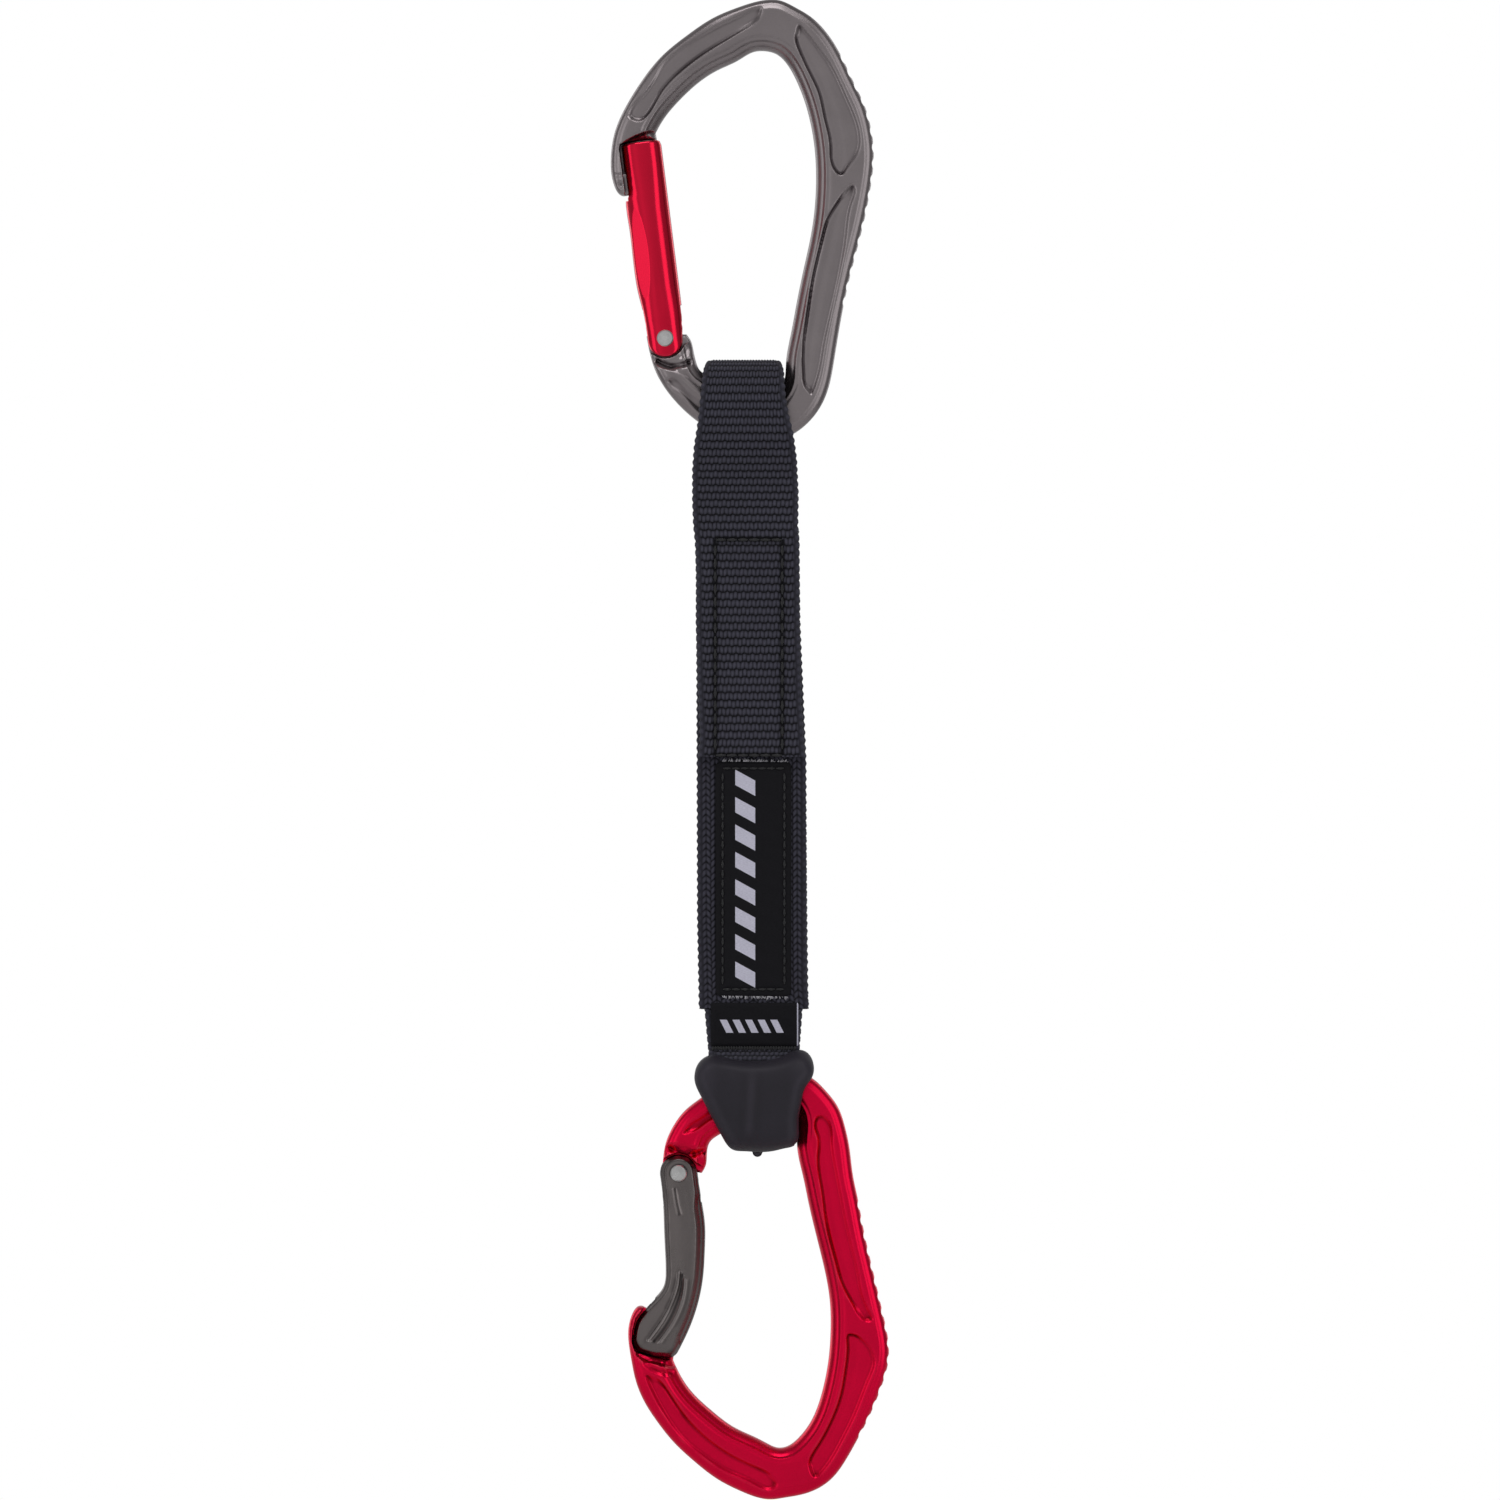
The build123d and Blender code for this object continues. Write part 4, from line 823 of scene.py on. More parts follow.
def upper_gate():
    """Straight gate: a round bar with a flat tip, a round hinge end and a thumb pad."""
    spine_side = spline([(HINGE_RADIUS, 0.0), (4.9, 2.4), (5.15, 4.6)])
    tip = [(4.85, 5.3), (4.75, 44.3), (4.4, 45.2), (3.6, 45.5), (-3.9, 45.5), (-4.7, 45.2), (-4.95, 44.3),
           (-4.85, 34.6)]
    outer_side = spline([(-4.9, 33.6), (-5.3, 32.8), (-5.4, 27.0), (-5.35, 19.0), (-5.1, 12.0), (-4.4, 7.0),
                         (-4.2, 4.0), (-HINGE_RADIUS, 0.0)])
    plan = gate_plan(spine_side, tip, outer_side)
    f = plan.fields
    # half width of the round bar along the gate, and how much wider it is towards the outside
    f["bar"] = np.interp(f["b"], [-9, 0, 5, 8, 30, 46], [4.45, 4.5, 4.85, 4.9, 4.8, 4.75])
    f["swell"] = np.interp(f["b"], [-9, 2, 8, 12, 33, 33.8, 46], [0.0, 0.0, 0.3, 0.5, 0.5, 0.2, 0.2])
    f["power"] = np.interp(f["b"], [-9, 0, 12, 30, 40], [2.6, 2.5, 2.1, 2.1, 2.5])
    f["pad"] = PAD_OUT - PAD_CUT * (1 - ((f["b"] - PAD_MIDDLE) / PAD_REACH) ** 2)

    def solid(f, y):
        y = np.abs(y)
        power, a = f["power"], f["a"]
        a = np.where(a < 0, a * f["bar"] / (f["bar"] + f["swell"]), a)
        bar = (np.abs(a) ** power + (y * (BAR_WIDTH / GATE_HALF)) ** power) ** (1 / power) - f["bar"]
        # a flat pad for the thumb crosses the round of the bar
        bar = np.maximum(bar, y * math.cos(PAD_LEAN) - f["a"] * math.sin(PAD_LEAN) - f["pad"])
        value = np.maximum(smooth_max(bar, f["edge"], 0.7), y - GATE_HALF)
        return gate_cuts(f, y, value, (-8.0, 38.0, -0.3, 47.0), (-8.0, 32.4, -0.9, 39.0), 44.85)

    gate_piece("upper_gate_bar", plan, solid, UPPER_GATE_FRAME, RED_GATE, "upper_gate", "gate_red")


def lower_gate():
    """Bent gate: a rounded bar that sweeps out to a broad tip, with long pressed flutes."""
    spine_side = spline([(HINGE_RADIUS, 0.0), (4.7, 6.4), (5.1, 12.0), (4.6, 18.2), (3.7, 24.4), (2.3, 29.6),
                         (-0.6, 36.3),
                         (-3.0, 40.4)])
    tip = spline([(-3.6, 41.3), (-4.7, 42.1), (-6.6, 42.2), (-9.6, 41.5), (-12.2, 40.5)])
    outer_side = spline([(-13.0, 39.8), (-13.7, 38.0), (-13.4, 35.4), (-12.3, 32.7), (-9.9, 30.2),
                         (-7.8, 28.4),
                         (-5.6, 26.0), (-4.7, 22.0), (-4.4, 14.0), (-4.1, 6.0), (-HINGE_RADIUS, 0.0)])
    plan = gate_plan(spine_side, tip, outer_side)
    f = plan.fields
    deep = -f["edge"]
    # a chamfer runs round the face, wider towards the spine; the fork's cheeks stay thick
    wide = step_up(plan.near(outer_side) - plan.near(spine_side), -1.5, 1.5)
    fork = 1 - step_up(f["b"], 4.0, 9.0)
    inner_line = 1.15 + wide * (0.95 - 0.7 * step_up(f["b"], 37.0, 41.0)) * (1 - fork)
    height = GATE_HALF - (1.05 - 0.35 * fork) * (1 - np.clip(deep / 4.6, 0, 1)) ** 2
    wide *= 1 - fork
    height -= (0.55 + 0.2 * wide) * np.clip((inner_line - deep) / (0.6 + 0.5 * wide), 0, 1) + 0.2
    for points, rise, width in (
            ([(-1.2, 3.6), (-1.0, 6.4), (-0.6, 9.3)], 0.3, 0.5),
            ([(0.6, 5.0), (1.0, 8.0), (1.1, 12.0)], -0.14, 0.8),
            ([(-1.6, 22.6), (-2.2, 25.4), (-3.6, 28.9), (-6.4, 33.6), (-9.8, 37.6)], -0.5, 0.45),
            ([(-1.1, 23.4), (-1.6, 26.6), (-2.8, 29.8), (-5.2, 34.0), (-8.6, 38.0)], 0.3, 0.45),
            ([(-0.4, 24.4), (-0.9, 27.4), (-2.0, 30.6), (-4.2, 34.4), (-7.4, 38.2)], -0.42, 0.45)):
        height += rise * ridge(plan.near(spline(points)), width)
    f["height"] = np.minimum(height, GATE_HALF)

    def solid(f, y):
        y = np.abs(y)
        value = rounded(f["edge"], y - f["height"], 1.1)
        return gate_cuts(f, y, value, (-15.0, 36.0, -5.8, 44.0), (-15.0, 28.4, -6.4, 37.6), 41.55)

    gate_piece("lower_gate_bar", plan, solid, LOWER_GATE_FRAME, GUNMETAL, "lower_gate", "gate_gunmetal")


upper_gate()
lower_gate()


# ---------------------------------------------------------------- the rubber keeper
def keeper():
    """Moulded keeper: lobed shoulders, a tapered skirt, slots for the bar and a moulding nub."""
    front = spline([(-12.0, -231.0), (-14.2, -232.0), (-15.7, -234.2), (-15.9, -236.8), (-14.6, -240.0),
                    (-12.1, -244.9), (-9.9, -249.0), (-8.5, -251.4), (-7.4, -252.5), (-4.4, -253.0),
                    (-0.7, -253.2), (2.8, -252.8), (4.8, -252.3), (7.0, -251.6), (7.9, -250.0), (8.0, -247.4),
                    (8.1, -244.4), (8.6, -241.6), (9.5, -238.2), (10.9, -236.2), (11.5, -234.0), (10.9,
                                                                                                  -231.6),
                    (9.6, -230.2), (7.6, -229.8), (4.0, -231.2), (-1.8, -232.2), (-8.0, -231.6)], closed=True)
    side = [(5.2, -229.4), (7.4, -230.6), (9.6, -233.2), (10.5, -237.6), (10.3, -245.0), (8.8, -250.4),
            (5.6, -253.3), (0.0, -253.8)]
    profile = spline(side)
    bar_outer = spline([(19.4, -250.0), (17.4, -243.0), (14.7, -238.8), (8.2, -234.5), (0.2, -233.1),
                        (-7.8, -235.4), (-14.8, -240.4), (-21.4, -247.9)])
    bar_inner = spline([(-13.6, -254.2), (-10.6, -250.8), (-5.8, -247.1), (0.1, -244.1), (4.6, -242.9),
                        (6.7, -245.0), (7.0, -250.6), (8.0, -256.0)])
    plan = Plan((-18, -256), (14, -227.5), 0.22)
    x, z = plan.grid
    reach = np.interp(z, profile[::-1, 1], profile[::-1, 0])
    reach = reach - 0.55 * step_up(np.abs(x + 2.2), 0.0, 9.0) * step_up(z, -256.0, -232.0)
    reach += 0.5 * ridge(np.abs(x + 2.2) - 10.5, 2.6) * step_up(z, -243.0, -236.0)
    web = np.interp(z, [-254, -252, -249, -244.5, -238, -233, -220],
                    [5.2, 5.2, 5.5, 6.6, 9.0, 10.2, 10.5])
    web_mid = np.interp(z, [-252, -244.5, -238, -233, -220], [-1.4, -2.0, -2.5, -2.4, -2.2])
    fall = np.interp(z, [-254, -251.4, -249, -245, -238, -233.5, -230.9, -229.6, -220],
                     [0.0, 0.0, 7.0, 8.8, 8.8, 7.6, 3.9, 3.7, 3.7])
    middle_ridge = ridge(x + 3.0 - 0.05 * (z + 240), 1.3)
    reach += 0.35 * middle_ridge * step_up(z, -251.0, -247.0) * step_up(-z, 233.0, 238.0)
    plan.fields = {
        "front": plan.inside(front), "reach": reach, "bar": plan.inside(np.vstack([bar_outer, bar_inner])),
        "web": np.abs(x - web_mid) - web - 0.12, "fall": fall, "x": x, "z": z,
        "nub": np.hypot(x + 1.5, (z + 253.4) * 1.1),
    }

    def solid(f, y):
        low_y = np.abs(y)
        value = rounded(f["front"], (low_y - f["reach"]) * 0.85, 2.4)
        nub = np.hypot(f["nub"], np.maximum(low_y - 1.0, 0)) - 1.1
        value = -smooth_max(-value, -nub, 0.5)
        value = cut(value, f["bar"], low_y - 6.1)
        inner = np.where(y < 0, -y - np.minimum(f["fall"], 9.0), y - np.minimum(f["fall"] + 0.1, 9.0))
        inner = np.where((y < 0) & (f["fall"] < 3.95), -y - 1.75, inner)
        return cut(value, f["web"], inner)

    piece = make_mesh("keeper_moulded", *surface(plan, 11.5, solid))
    store_cavity(piece)
    finish_piece(piece, RUBBER, "lower_loop", "rubber", "rubber_keeper")


keeper()


# ---------------------------------------------------------------- webbing
ROW, YARN = 1.78, 0.92      # pitch of the weave's rows and of the yarns across them
COLUMN, LINK = 2.05, 1.55   # width of the chain weave's columns and pitch of their links
CELL = 0.18                 # size of the straps' quads
RELIEF = 0.42               # how far the yarns stand out
SELVAGE = 0.28              # how far the edges' waves stand out
SLACK = 0.9                 # the edges' roundness
PRESS = 0.22                # how deep a seam presses into the face


def tape_weave(u, s):
    """Height from 0 to 1 of a flat tape's face: rows of short yarns, each row half a yarn along."""
    wave = s / ROW + 0.07 * np.sin(2 * np.pi * u / (2 * YARN))
    row = np.floor(wave)
    within = wave - row
    across = np.abs(np.cos(np.pi * (u / YARN + 0.5 * (row % 2) + 0.10 * (within - 0.5))))
    bar = np.clip(1 - (2 * within - 1) ** 2, 0, 1) ** 0.5
    return bar * (0.35 + 0.65 * across ** 0.7)


def chain_weave(u, s):
    """Height of the core's face: columns of slanting links, like small plaits."""
    lane = u / COLUMN
    number = np.floor(lane)
    inside = lane - number
    lean = np.where(inside < 0.5, 1, -1) * (inside - 0.5)
    link = s / LINK + lean * 1.1 + 0.5 * (number % 2)
    link = link - np.floor(link)
    bar = np.clip(1 - (2 * link - 1) ** 2, 0, 1) ** 0.5
    return bar * (0.3 + 0.7 * np.abs(np.sin(2 * np.pi * lane)) ** 0.55)


def strap(name, path, left, right, weave, pressed=None):
    """Closed mesh of a woven tape. path is (y, z) points of its middle line; left and right
    give the edges' x at each height. The weave stands out on both faces."""
    path = np.array(path, float)
    length = distances(path)
    rows = int(length[-1] / CELL) + 1
    s = np.linspace(0, length[-1], rows)
    y, z = (np.interp(s, length, path[:, k]) for k in (0, 1))
    smooth = np.ones(9) / 9
    ty, tz = (np.convolve(np.pad(np.gradient(v, s), 4, "edge"), smooth, "valid") for v in (y, z))
    size = np.hypot(ty, tz)
    ny, nz = (-tz / size)[:, None], (ty / size)[:, None]
    x_left, x_right = left(z), right(z)
    width = (x_right - x_left).mean()
    columns, rim = int(width / CELL) + 1, 6
    face = np.linspace(0, 1, columns)
    turn = np.linspace(0, np.pi, rim + 2)[1:-1]
    # once round the section: front face, right edge, back face, left edge
    share = np.concatenate([face, 1 + 0 * turn, face[::-1], 0 * turn])
    bulge = np.concatenate([0 * face, np.sin(turn), 0 * face, -np.sin(turn)])
    level = np.concatenate([0 * face + 1, np.cos(turn), 0 * face - 1, -np.cos(turn)])
    around = len(share)
    u, run = np.broadcast_arrays(share[None, :] * width, s[:, None])
    bump = 0.5 + 0.5 * np.cos(2 * np.pi * s / ROW)[:, None]
    x = x_left[:, None] + share * (x_right - x_left)[:, None] + bulge * (WEB / 2 * SLACK
                                                                         + SELVAGE * (bump - 0.5))
    edge_fade = np.clip(np.minimum(share, 1 - share) * width / 0.5, 0, 1)
    height = np.where(np.abs(bulge) > 0, 0.55 + 0.3 * bump, weave(u, run) * edge_fade + 0.5 * (1 - edge_fade))
    offset = level * (WEB / 2 - RELIEF * (1 - height))
    if pressed:
        press = pressed(x, y[:, None], z[:, None])
        # the pressed rows are also painted darker: painted shade along the seams
        height = height * (1 - 0.7 * press)
        offset = offset - np.sign(level) * PRESS * press
    points = np.stack([x, y[:, None] + offset * ny, z[:, None] + offset * nz], 2).reshape(-1, 3)
    i, j = np.meshgrid(np.arange(rows - 1), np.arange(around), indexing="ij")
    after = (j + 1) % around
    sides = np.stack([i * around + j, i * around + after, (i + 1) * around + after, (i + 1) * around + j], 2)
    # each end is closed by quads between the points of one face and those opposite
    k = np.arange(-(rim // 2), columns + rim // 2 - 1)
    opposite = 2 * columns + rim - 1 - k
    cap = np.stack([k, opposite, opposite - 1, k + 1], 1) % around
    piece = make_mesh(name, points, np.vstack([sides.reshape(-1, 4), cap, cap[:, ::-1]
                                               + (rows - 1) * around]))
    # the cloth material paints shade where this height is low
    store(piece, "height", np.clip(height, 0, 1).ravel())
    store_uv(piece, np.stack([u, run], 2).reshape(-1, 2) * MM)
    return piece


def edge_of(points, inset):
    """Edge position by height, from (x, z) points down the piece, moved by inset."""
    points = np.array(sorted(points, key=lambda p: p[1]))
    return lambda z: np.interp(z, points[:, 1], points[:, 0] + inset)


WEB = 2.3
UPPER_LEFT = [
    (-11.4, -70.9), (-12.4, -71.3), (-13.3, -72.3), (-13.9, -73.8), (-14.4, -78.0), (-15.1, -85.3),
    (-16.0, -91.0), (-16.4, -96.5), (-16.4, -104.0), (-16.2, -109.0), (-15.8, -113.0), (-15.5, -121.0),
    (-15.6, -131.0), (-15.2, -145.0), (-14.7, -157.5), (-15.1, -163.0), (-15.0, -190.0), (-14.6, -221.0)]
UPPER_RIGHT = [
    (2.2, -70.9), (3.2, -71.3), (4.0, -72.3), (4.5, -73.8), (4.9, -79.5), (5.8, -84.4), (6.7, -88.0),
    (7.5, -94.0), (7.9, -102.0), (7.8, -109.0), (8.1, -113.0), (8.2, -131.0), (8.6, -149.3), (9.2, -159.6),
    (9.5, -163.0), (9.8, -190.0), (10.2, -221.0)]
CORE_LEFT = [(-15.7, -110.0), (-15.5, -131.0), (-15.4, -163.0), (-15.3, -200.0), (-15.0, -215.0),
             (-14.9, -221.0)]
CORE_RIGHT = [(8.0, -110.0), (8.3, -131.0), (9.7, -163.0), (9.8, -200.0), (9.9, -215.0), (10.4, -221.0)]
LOWER_LEFT = [(-13.5, -219.0), (-12.9, -226.0), (-12.4, -231.0), (-11.5, -238.0), (-8.5, -244.5),
              (-6.6, -249.0),
              (-6.3, -252.5)]
LOWER_RIGHT = [(8.7, -219.0), (8.2, -226.0), (7.8, -231.0), (6.5, -238.0), (4.6, -244.0), (3.9, -249.0),
               (3.6, -252.5)]
EDGE_ROOM, LOWER_EDGE_ROOM = 1.0, 0.8     # the rounded selvage stands this far out of the edge lines
BOX_LEFT, BOX_RIGHT, BOX_TOP, BOX_BOTTOM = -11.2, 4.2, -112.5, -162.0


def upper_band_path():
    """Middle line of the upper webbing: up the back, over the bar and down to the cut front end."""
    half = WEB / 2
    reach = half_depth("upper_loop_webbing") - half
    middle_z = CREST - half - reach
    front_y, back_y = FRONT_FACE + half, BACK_FACE - half
    back = spline([(back_y, -118.0), (back_y, -112.0), (back_y + 0.2, -106.5), (4.6, -98.0),
                   (reach - 0.4, -89.0), (reach, middle_z)], step=0.2)
    crest = arc((0, middle_z), reach, 0, 180, 120)
    front = back[::-1] * [-1, 1]
    return np.vstack([[(back_y, SEWN_END + 0.1)], back, crest[1:-1], front, [(front_y, FRONT_END)]])


def box_press(x, y, z):
    """1 under the rows of the sewn box on the front layer, fading to 0 beside them."""
    rows = np.minimum(np.abs(x - BOX_LEFT), np.abs(x - BOX_RIGHT))
    rows = np.where((z < BOX_TOP) & (z > BOX_BOTTOM), rows, 9.0)
    ends = np.minimum(np.abs(z - BOX_TOP), np.abs(z - BOX_BOTTOM))
    ends = np.where((x > BOX_LEFT) & (x < BOX_RIGHT), ends, 9.0)
    return ridge(np.minimum(rows, ends), 0.55) * (y < 0)


def lower_band_path():
    """Middle line of the lower webbing: down the front of the neck, under the bar and back up."""
    half = WEB / 2
    reach = half_depth("lower_loop_webbing") - half
    turn_z = LOOP_BOTTOM + half + reach
    front = spline([(CORE_FACE + half, -227.5), (CORE_FACE + half - 0.05, -229.8), (-3.4, -232.6),
                    (-6.0, -235.4),
                    (-reach, -239.8), (-reach, turn_z)], step=0.2)
    back = spline([(reach, turn_z), (reach, -239.8), (6.4, -235.4), (4.2, -232.4), (BACK_FACE - half, -229.6),
                   (BACK_FACE - half, -227.5)], step=0.2)
    bend = arc((0, turn_z), reach, 180, 360, 90)
    start, end = [(CORE_FACE + half, SEWN_END - 0.1)], [(BACK_FACE - half, SEWN_END - 0.1)]
    return np.vstack([start, front, bend[1:-1], back, end])


upper_band = strap("upper_webbing_woven", upper_band_path(), edge_of(UPPER_LEFT, EDGE_ROOM),
                   edge_of(UPPER_RIGHT, -EDGE_ROOM), tape_weave, box_press)
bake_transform(upper_band)
finish_piece(upper_band, WEBBING, None, "webbing", "upper_loop_webbing", "front_webbing", "back_webbing")

core = strap("core_webbing_woven", [(0.0, -110.5), (0.0, -219.2), (-0.15, SEWN_END + 0.05)],
             edge_of(CORE_LEFT, EDGE_ROOM), edge_of(CORE_RIGHT, -EDGE_ROOM), chain_weave)
finish_piece(core, CORE, "sling", "webbing", "core_webbing")

lower_band = strap("lower_webbing_woven", lower_band_path(), edge_of(LOWER_LEFT, LOWER_EDGE_ROOM),
                   edge_of(LOWER_RIGHT, -LOWER_EDGE_ROOM), tape_weave)
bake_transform(lower_band)
finish_piece(lower_band, WEBBING, None, "webbing", "lower_loop_webbing")


# ---------------------------------------------------------------- labels and stitches
LABEL_CELL = 0.3


def patch(name, low, high, face_y, thick, corner, crown=0.25, seam=None):
    """Closed thin label with rounded corners, a soft crown and, if wanted, a sewn-down border."""
    nu, nv = int((high[0] - low[0]) / LABEL_CELL), int((high[1] - low[1]) / LABEL_CELL)
    u, v = np.meshgrid(np.linspace(0, 1, nu), np.linspace(0, 1, nv), indexing="ij")
    x = low[0] + u * (high[0] - low[0])
    z = low[1] + v * (high[1] - low[1])
    side = np.minimum(np.minimum(x - low[0], high[0] - x), np.minimum(z - low[1], high[1] - z))
    cx = np.clip(x, low[0] + corner, high[0] - corner)
    cz = np.clip(z, low[1] + corner, high[1] - corner)
    far = np.hypot(x - cx, z - cz)
    pull = np.where(far > corner, corner / np.maximum(far, 1e-9), 1)
    x, z = cx + (x - cx) * pull, cz + (z - cz) * pull
    rise = thick * (0.55 + 0.45 * step_up(side, 0, 0.6)) + crown * step_up(side, 0.5, 3.0) * 0.5
    if seam:
        rise = rise - PRESS * ridge(side - seam, 0.45)
    rise += 0.05 * np.sin(z * 1.7 + x * 0.6) * step_up(side, 0.3, 1.5)
    points = [np.stack([x, face_y - out, z], 2).reshape(-1, 3) for out in (rise, 0 * rise)]
    n = nu * nv
    i, j = np.meshgrid(np.arange(nu - 1), np.arange(nv - 1), indexing="ij")
    quad = np.stack([i * nv + j, (i + 1) * nv + j, (i + 1) * nv + j + 1, i * nv + j + 1], 2).reshape(-1, 4)
    rim = np.concatenate([np.arange(nu) * nv, (nu - 1) * nv + np.arange(1, nv),
                          np.arange(nu - 2, -1, -1) * nv + nv - 1, np.arange(nv - 2, 0, -1)])
    after = np.roll(rim, -1)
    wall = np.stack([after, rim, rim + n, after + n], 1)
    piece = make_mesh(name, np.vstack(points), np.vstack([quad, quad[:, ::-1] + n, wall]))
    flat = np.stack([x - low[0], z - low[1]], 2).reshape(-1, 2)
    store_uv(piece, np.vstack([flat, flat]))
    return piece


LABEL_LOW, LABEL_HIGH = [(end.x / MM, end.z / MM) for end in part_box("long_label")]
TAB_LOW, TAB_HIGH = (-12.2, -228.9), (7.9, -218.9)
TAB_THICK = 0.6
SEAM = 1.6           # the label's stitches run this far inside its edges

label_cloth = woven_label("long_label_woven", 6.8, 2.3, 3.2, 8, 6.3, 0.55)
label = patch("long_label_patch", LABEL_LOW, LABEL_HIGH, CORE_FACE + 0.1, CORE_FACE - LABEL_FACE, 1.3,
              seam=SEAM)
finish_piece(label, label_cloth, "sling", "label", "long_label")

tab_cloth = woven_label("tab_label_woven", 4.6, 1.5, 2.8, 5, 2.9, 0.5, upright=False, fold=19.8)
tab = patch("tab_label_patch", TAB_LOW, TAB_HIGH, CORE_FACE + 0.12, TAB_THICK, 0.3, crown=0.1)
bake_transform(tab)
finish_piece(tab, tab_cloth, None, "label", "tab_label")


def tube_faces(along, around):
    """Quads of a tube with closed ends, its points numbered ring by ring."""
    i, j = np.meshgrid(np.arange(along - 1), np.arange(around), indexing="ij")
    after = (j + 1) % around
    quads = np.stack([i * around + j, (i + 1) * around + j, (i + 1) * around + after, i * around + after], 2)
    k = np.arange(around // 2 - 1)
    cap = np.stack([k, k + 1, around - 2 - k, around - 1 - k], 1)
    return np.vstack([quads.reshape(-1, 4), cap, (cap + (along - 1) * around)[:, ::-1]])


def stitches(name, runs, face_y, radius=0.3, arch=0.22, around=10, along=12):
    """Short lengths of thread that rise out of the cloth and dive back. runs holds pairs of
    (x, z) ends."""
    t = np.linspace(0, 1, along)
    ring = np.linspace(0, 2 * np.pi, around, endpoint=False)
    points, faces, base = [], [], 0
    for start, end in runs:
        start, end = np.array(start), np.array(end)
        run = end - start
        size = np.linalg.norm(run)
        run, out = run / size, np.array([-run[1], run[0]]) / size
        middle_line = start + t[:, None] * size * run
        lift = arch * np.sin(np.pi * t) - 0.12
        girth = radius * np.clip(np.sin(np.pi * np.clip(t, 0.02, 0.98)) ** 0.35, 0.12, 1)
        girth = girth[:, None] * (1 + 0.13 * np.cos(2 * (ring[None, :] - 5.5 * t[:, None])))
        side = girth * np.cos(ring)
        x, z = middle_line[:, :1] + side * out[0], middle_line[:, 1:] + side * out[1]
        y = face_y - lift[:, None] - girth * np.sin(ring)
        points.append(np.stack([x, y, z], 2).reshape(-1, 3))
        faces.append(base + tube_faces(along, around))
        base += along * around
    return make_mesh(name, np.vstack(points), np.vstack(faces))


def row(start, end, pitch, length, across=False):
    """Ends of the stitches in one straight row."""
    start, end = np.array(start, float), np.array(end, float)
    run = end - start
    size = np.linalg.norm(run)
    count = int(size / pitch) + 1
    way = run / size
    if across:
        way = np.array([-way[1], way[0]])
    centres = [start + run * ((k + 0.5) / count) for k in range(count)]
    return [(c - way * length / 2, c + way * length / 2) for c in centres]


def seam(left, right, low, high, pitch, length):
    """Ends of the stitches round a rectangle."""
    return (row((left, high), (right, high), pitch, length)
            + row((left, low), (right, low), pitch, length)
            + row((left, high - 1), (left, low + 1), pitch, length)
            + row((right, high - 1), (right, low + 1), pitch, length))


box = stitches("box_seam_thread", seam(BOX_LEFT, BOX_RIGHT, BOX_BOTTOM, BOX_TOP, 3.0, 2.3), FRONT_FACE + 0.1)
finish_piece(box, THREAD, "sling", "thread", "box_stitching")

label_runs = seam(LABEL_LOW[0] + SEAM, LABEL_HIGH[0] - SEAM, LABEL_LOW[1] + SEAM, LABEL_HIGH[1] - SEAM, 2.3,
                  1.8)
label_seam = stitches("label_seam_thread", label_runs, LABEL_FACE + 0.05, radius=0.24)
finish_piece(label_seam, THREAD, "sling", "thread", "label_stitching")

bartack_runs = (row((-12.0, -229.4), (7.4, -229.4), 0.62, 1.5, across=True)
                + row((-12.0, -230.7), (7.2, -230.7), 0.62, 1.2, across=True))
bartack = stitches("bartack_thread", bartack_runs, CORE_FACE - 0.02, radius=0.27, arch=0.2)
finish_piece(bartack, THREAD, "lower_loop", "thread", "bartack_stitching")


def frayed(name, runs, face_y, count, length):
    """Cut yarn ends along edges, each given as its ends and the way that the yarns point."""
    ends = []
    for (start, end), way in runs:
        start, end, way = np.array(start, float), np.array(end, float), np.array(way, float)
        for _ in range(count):
            base = start + (end - start) * RANDOM.random()
            lean = (RANDOM.random() - 0.5) * 1.6
            tip = base + (way + lean * np.array([way[1], -way[0]])) * length * (0.5 + RANDOM.random())
            ends.append((base, tip))
    return stitches(name, ends, face_y, radius=0.07, arch=0.12, around=6, along=5)


top_edge = (LABEL_LOW[0] + 1.4, LABEL_HIGH[1] - 0.1), (LABEL_HIGH[0] - 0.3, LABEL_HIGH[1] - 0.25)
bottom_edge = (LABEL_LOW[0] + 1.0, LABEL_LOW[1] + 0.2), (LABEL_HIGH[0] - 1.0, LABEL_LOW[1] - 0.05)
label_fray = [(top_edge, (0.2, 1.0)), (bottom_edge, (0.3, -1.0))]
finish_piece(frayed("label_frayed_ends", label_fray, LABEL_FACE + 0.3, 90, 0.55), PALE_THREAD, "sling",
             "label")


# ---------------------------------------------------------------- springs inside the gates
COIL_RADIUS, WIRE_RADIUS, COIL_TURNS = 1.65, 0.28, 7
COIL_LOW, COIL_HIGH = 12.5, 26.0      # from the plunger's collar to the end of the bore


def coil(name, gate, body, node):
    """Coil spring in a gate's bore."""
    along, around = COIL_TURNS * 32, 10
    turn = np.linspace(0, 2 * np.pi * COIL_TURNS, along)[:, None]
    ring = np.linspace(0, 2 * np.pi, around, endpoint=False)[None, :]
    out = COIL_RADIUS + WIRE_RADIUS * np.cos(ring)
    rise = COIL_LOW + WIRE_RADIUS + (COIL_HIGH - COIL_LOW - 2 * WIRE_RADIUS) * turn / turn.max()
    points = np.stack([out * np.cos(turn), out * np.sin(turn), rise + WIRE_RADIUS * np.sin(ring)], 2)
    piece = make_mesh(name, points.reshape(-1, 3), tube_faces(along, around), gate_place(gate))
    finish_piece(piece, SPRING, body, "spring_steel", node)
    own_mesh(piece)


coil("upper_spring_coil", UPPER_GATE_FRAME, "upper_gate", "upper_gate_spring")
coil("lower_spring_coil", LOWER_GATE_FRAME, "lower_gate", "lower_gate_spring")


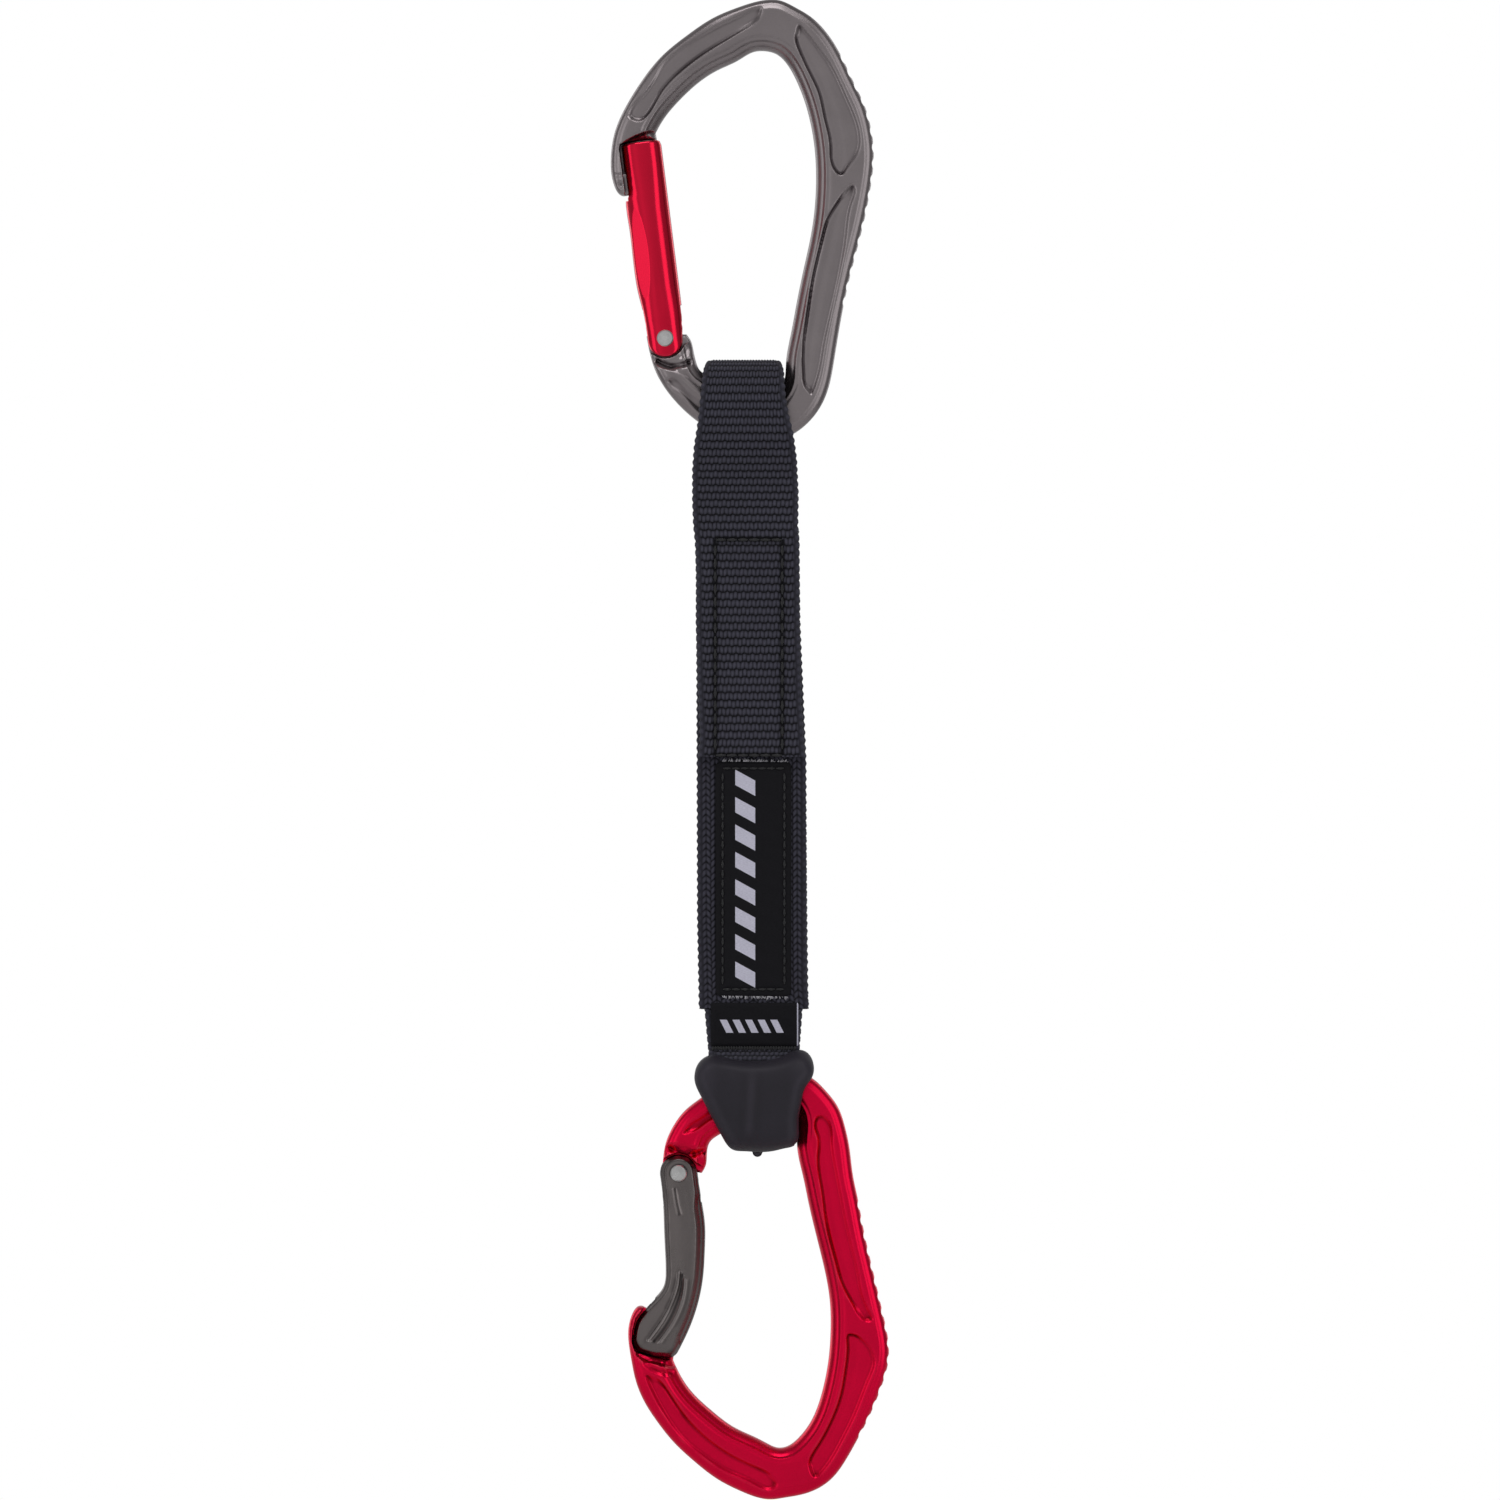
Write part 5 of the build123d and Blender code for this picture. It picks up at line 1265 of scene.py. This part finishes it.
# ---------------------------------------------------------------- carried-over CAD pieces
for node, material in (("upper_gate_rivet", RIVET), ("lower_gate_rivet", RIVET),
                       ("upper_gate_plunger", SPRING), ("lower_gate_plunger", SPRING)):
    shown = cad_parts[node]
    shown.data.materials.clear()
    shown.data.materials.append(material)


# ---------------------------------------------------------------- stage, light and camera
FRAME_WIDTH = 0.345                    # what the picture spans at the object's middle plane
LOOK_AT = (-0.0032, 0.0, -0.1608)
CAMERA_DISTANCE = 3.0
SENSOR = 36.0
FLOOR_RADIUS, FLOOR_DROP = 0.48, 0.03
ROOM_LIGHT = 1.14


def studio_floor():
    """Plain pale disc below the object."""
    mesh = bpy.data.meshes.new("studio_floor")
    level = CAD_BOX[0][2] - FLOOR_DROP
    rim = arc((0, 0), FLOOR_RADIUS, 0, 360, 129)[:-1]
    mesh.from_pydata([(x, y, level) for x, y in rim], [], [tuple(range(len(rim)))])
    floor = bpy.data.objects.new("studio_floor", mesh)
    bpy.context.scene.collection.objects.link(floor)
    pale = Shader("studio_floor_pale")
    pale.join(pale.ramp(pale.noise(pale.place(), 4.0), (0.3, 0.90), (0.7, 0.93)), "Base Color")
    pale.set(Roughness=0.8)
    mesh.materials.append(pale.material)


def room():
    """White to the camera. The object is lit by, and mirrors, a grey room: bright before and
    behind it, dim at its sides, a little darker below, and brighter on the left."""
    scene = bpy.context.scene
    scene.view_settings.view_transform = "Standard"
    scene.view_settings.look = "None"
    scene.world = bpy.data.worlds.new("studio_world")
    w = Nodes(scene.world)
    w.tree.nodes.clear()
    x, y, z = w.split(w.place("Generated"))
    facing = w.ramp(w.math("ABSOLUTE", y), (0.0, 0.28), (0.35, 0.29), (0.75, 0.42), (0.93, 0.56), (1.0, 0.50))
    # height and side run from -1 to 1, and their ramps from 0 to 1
    rise = w.ramp(w.math("MULTIPLY_ADD", z, 0.5, 0.5), (0.0, 0.75), (0.5, 1.0), (1.0, 0.9))
    lean = w.ramp(w.math("MULTIPLY_ADD", x, 0.5, 0.5), (0.0, 1.0), (0.32, 1.0), (0.5, 0.88), (0.68, 0.72),
                  (1.0, 0.85))
    tone = w.math("MULTIPLY", w.math("MULTIPLY", facing, rise), lean)
    lit = w.add("ShaderNodeBackground", {"Color": tone, "Strength": ROOM_LIGHT})
    seen = w.add("ShaderNodeBackground", {"Color": (1, 1, 1, 1), "Strength": 1.0})
    to_camera = w.add("ShaderNodeLightPath").outputs["Is Camera Ray"]
    both = w.add("ShaderNodeMixShader", {0: to_camera, 1: lit.outputs[0], 2: seen.outputs[0]})
    w.add("ShaderNodeOutputWorld", {"Surface": both.outputs[0]})


def softbox(name, place, size, power):
    light = bpy.data.lights.new(name, "AREA")
    light.shape = "RECTANGLE"
    light.size, light.size_y = size
    light.energy = power
    lamp = bpy.data.objects.new(name, light)
    bpy.context.scene.collection.objects.link(lamp)
    lamp.location = place
    aim = Vector(np.array(LOOK_AT) - np.array(place))
    lamp.rotation_euler = aim.to_track_quat("-Z", "Y").to_euler()


def camera():
    data = bpy.data.cameras.new("photo_camera")
    data.sensor_width = SENSOR
    data.lens = SENSOR * CAMERA_DISTANCE / FRAME_WIDTH
    data.clip_start, data.clip_end = 0.05, 20.0
    eye = bpy.data.objects.new("photo_camera", data)
    bpy.context.scene.collection.objects.link(eye)
    eye.location = (LOOK_AT[0], -CAMERA_DISTANCE, LOOK_AT[2])
    eye.rotation_euler = (math.pi / 2, 0, 0)
    bpy.context.scene.camera = eye


studio_floor()
room()
softbox("strip_left", (-1.08, -0.64, -0.05), (0.56, 1.3), 1.9)
softbox("strip_right", (0.86, -0.92, 0.0), (0.55, 1.3), 2.1)
softbox("top", (0.0, -0.7, 1.0), (0.9, 0.5), 3.5)
softbox("behind_left", (-0.9, 0.9, 0.1), (0.4, 1.2), 1.6)
softbox("behind_right", (0.8, 1.0, 0.2), (0.3, 1.2), 1.4)
camera()
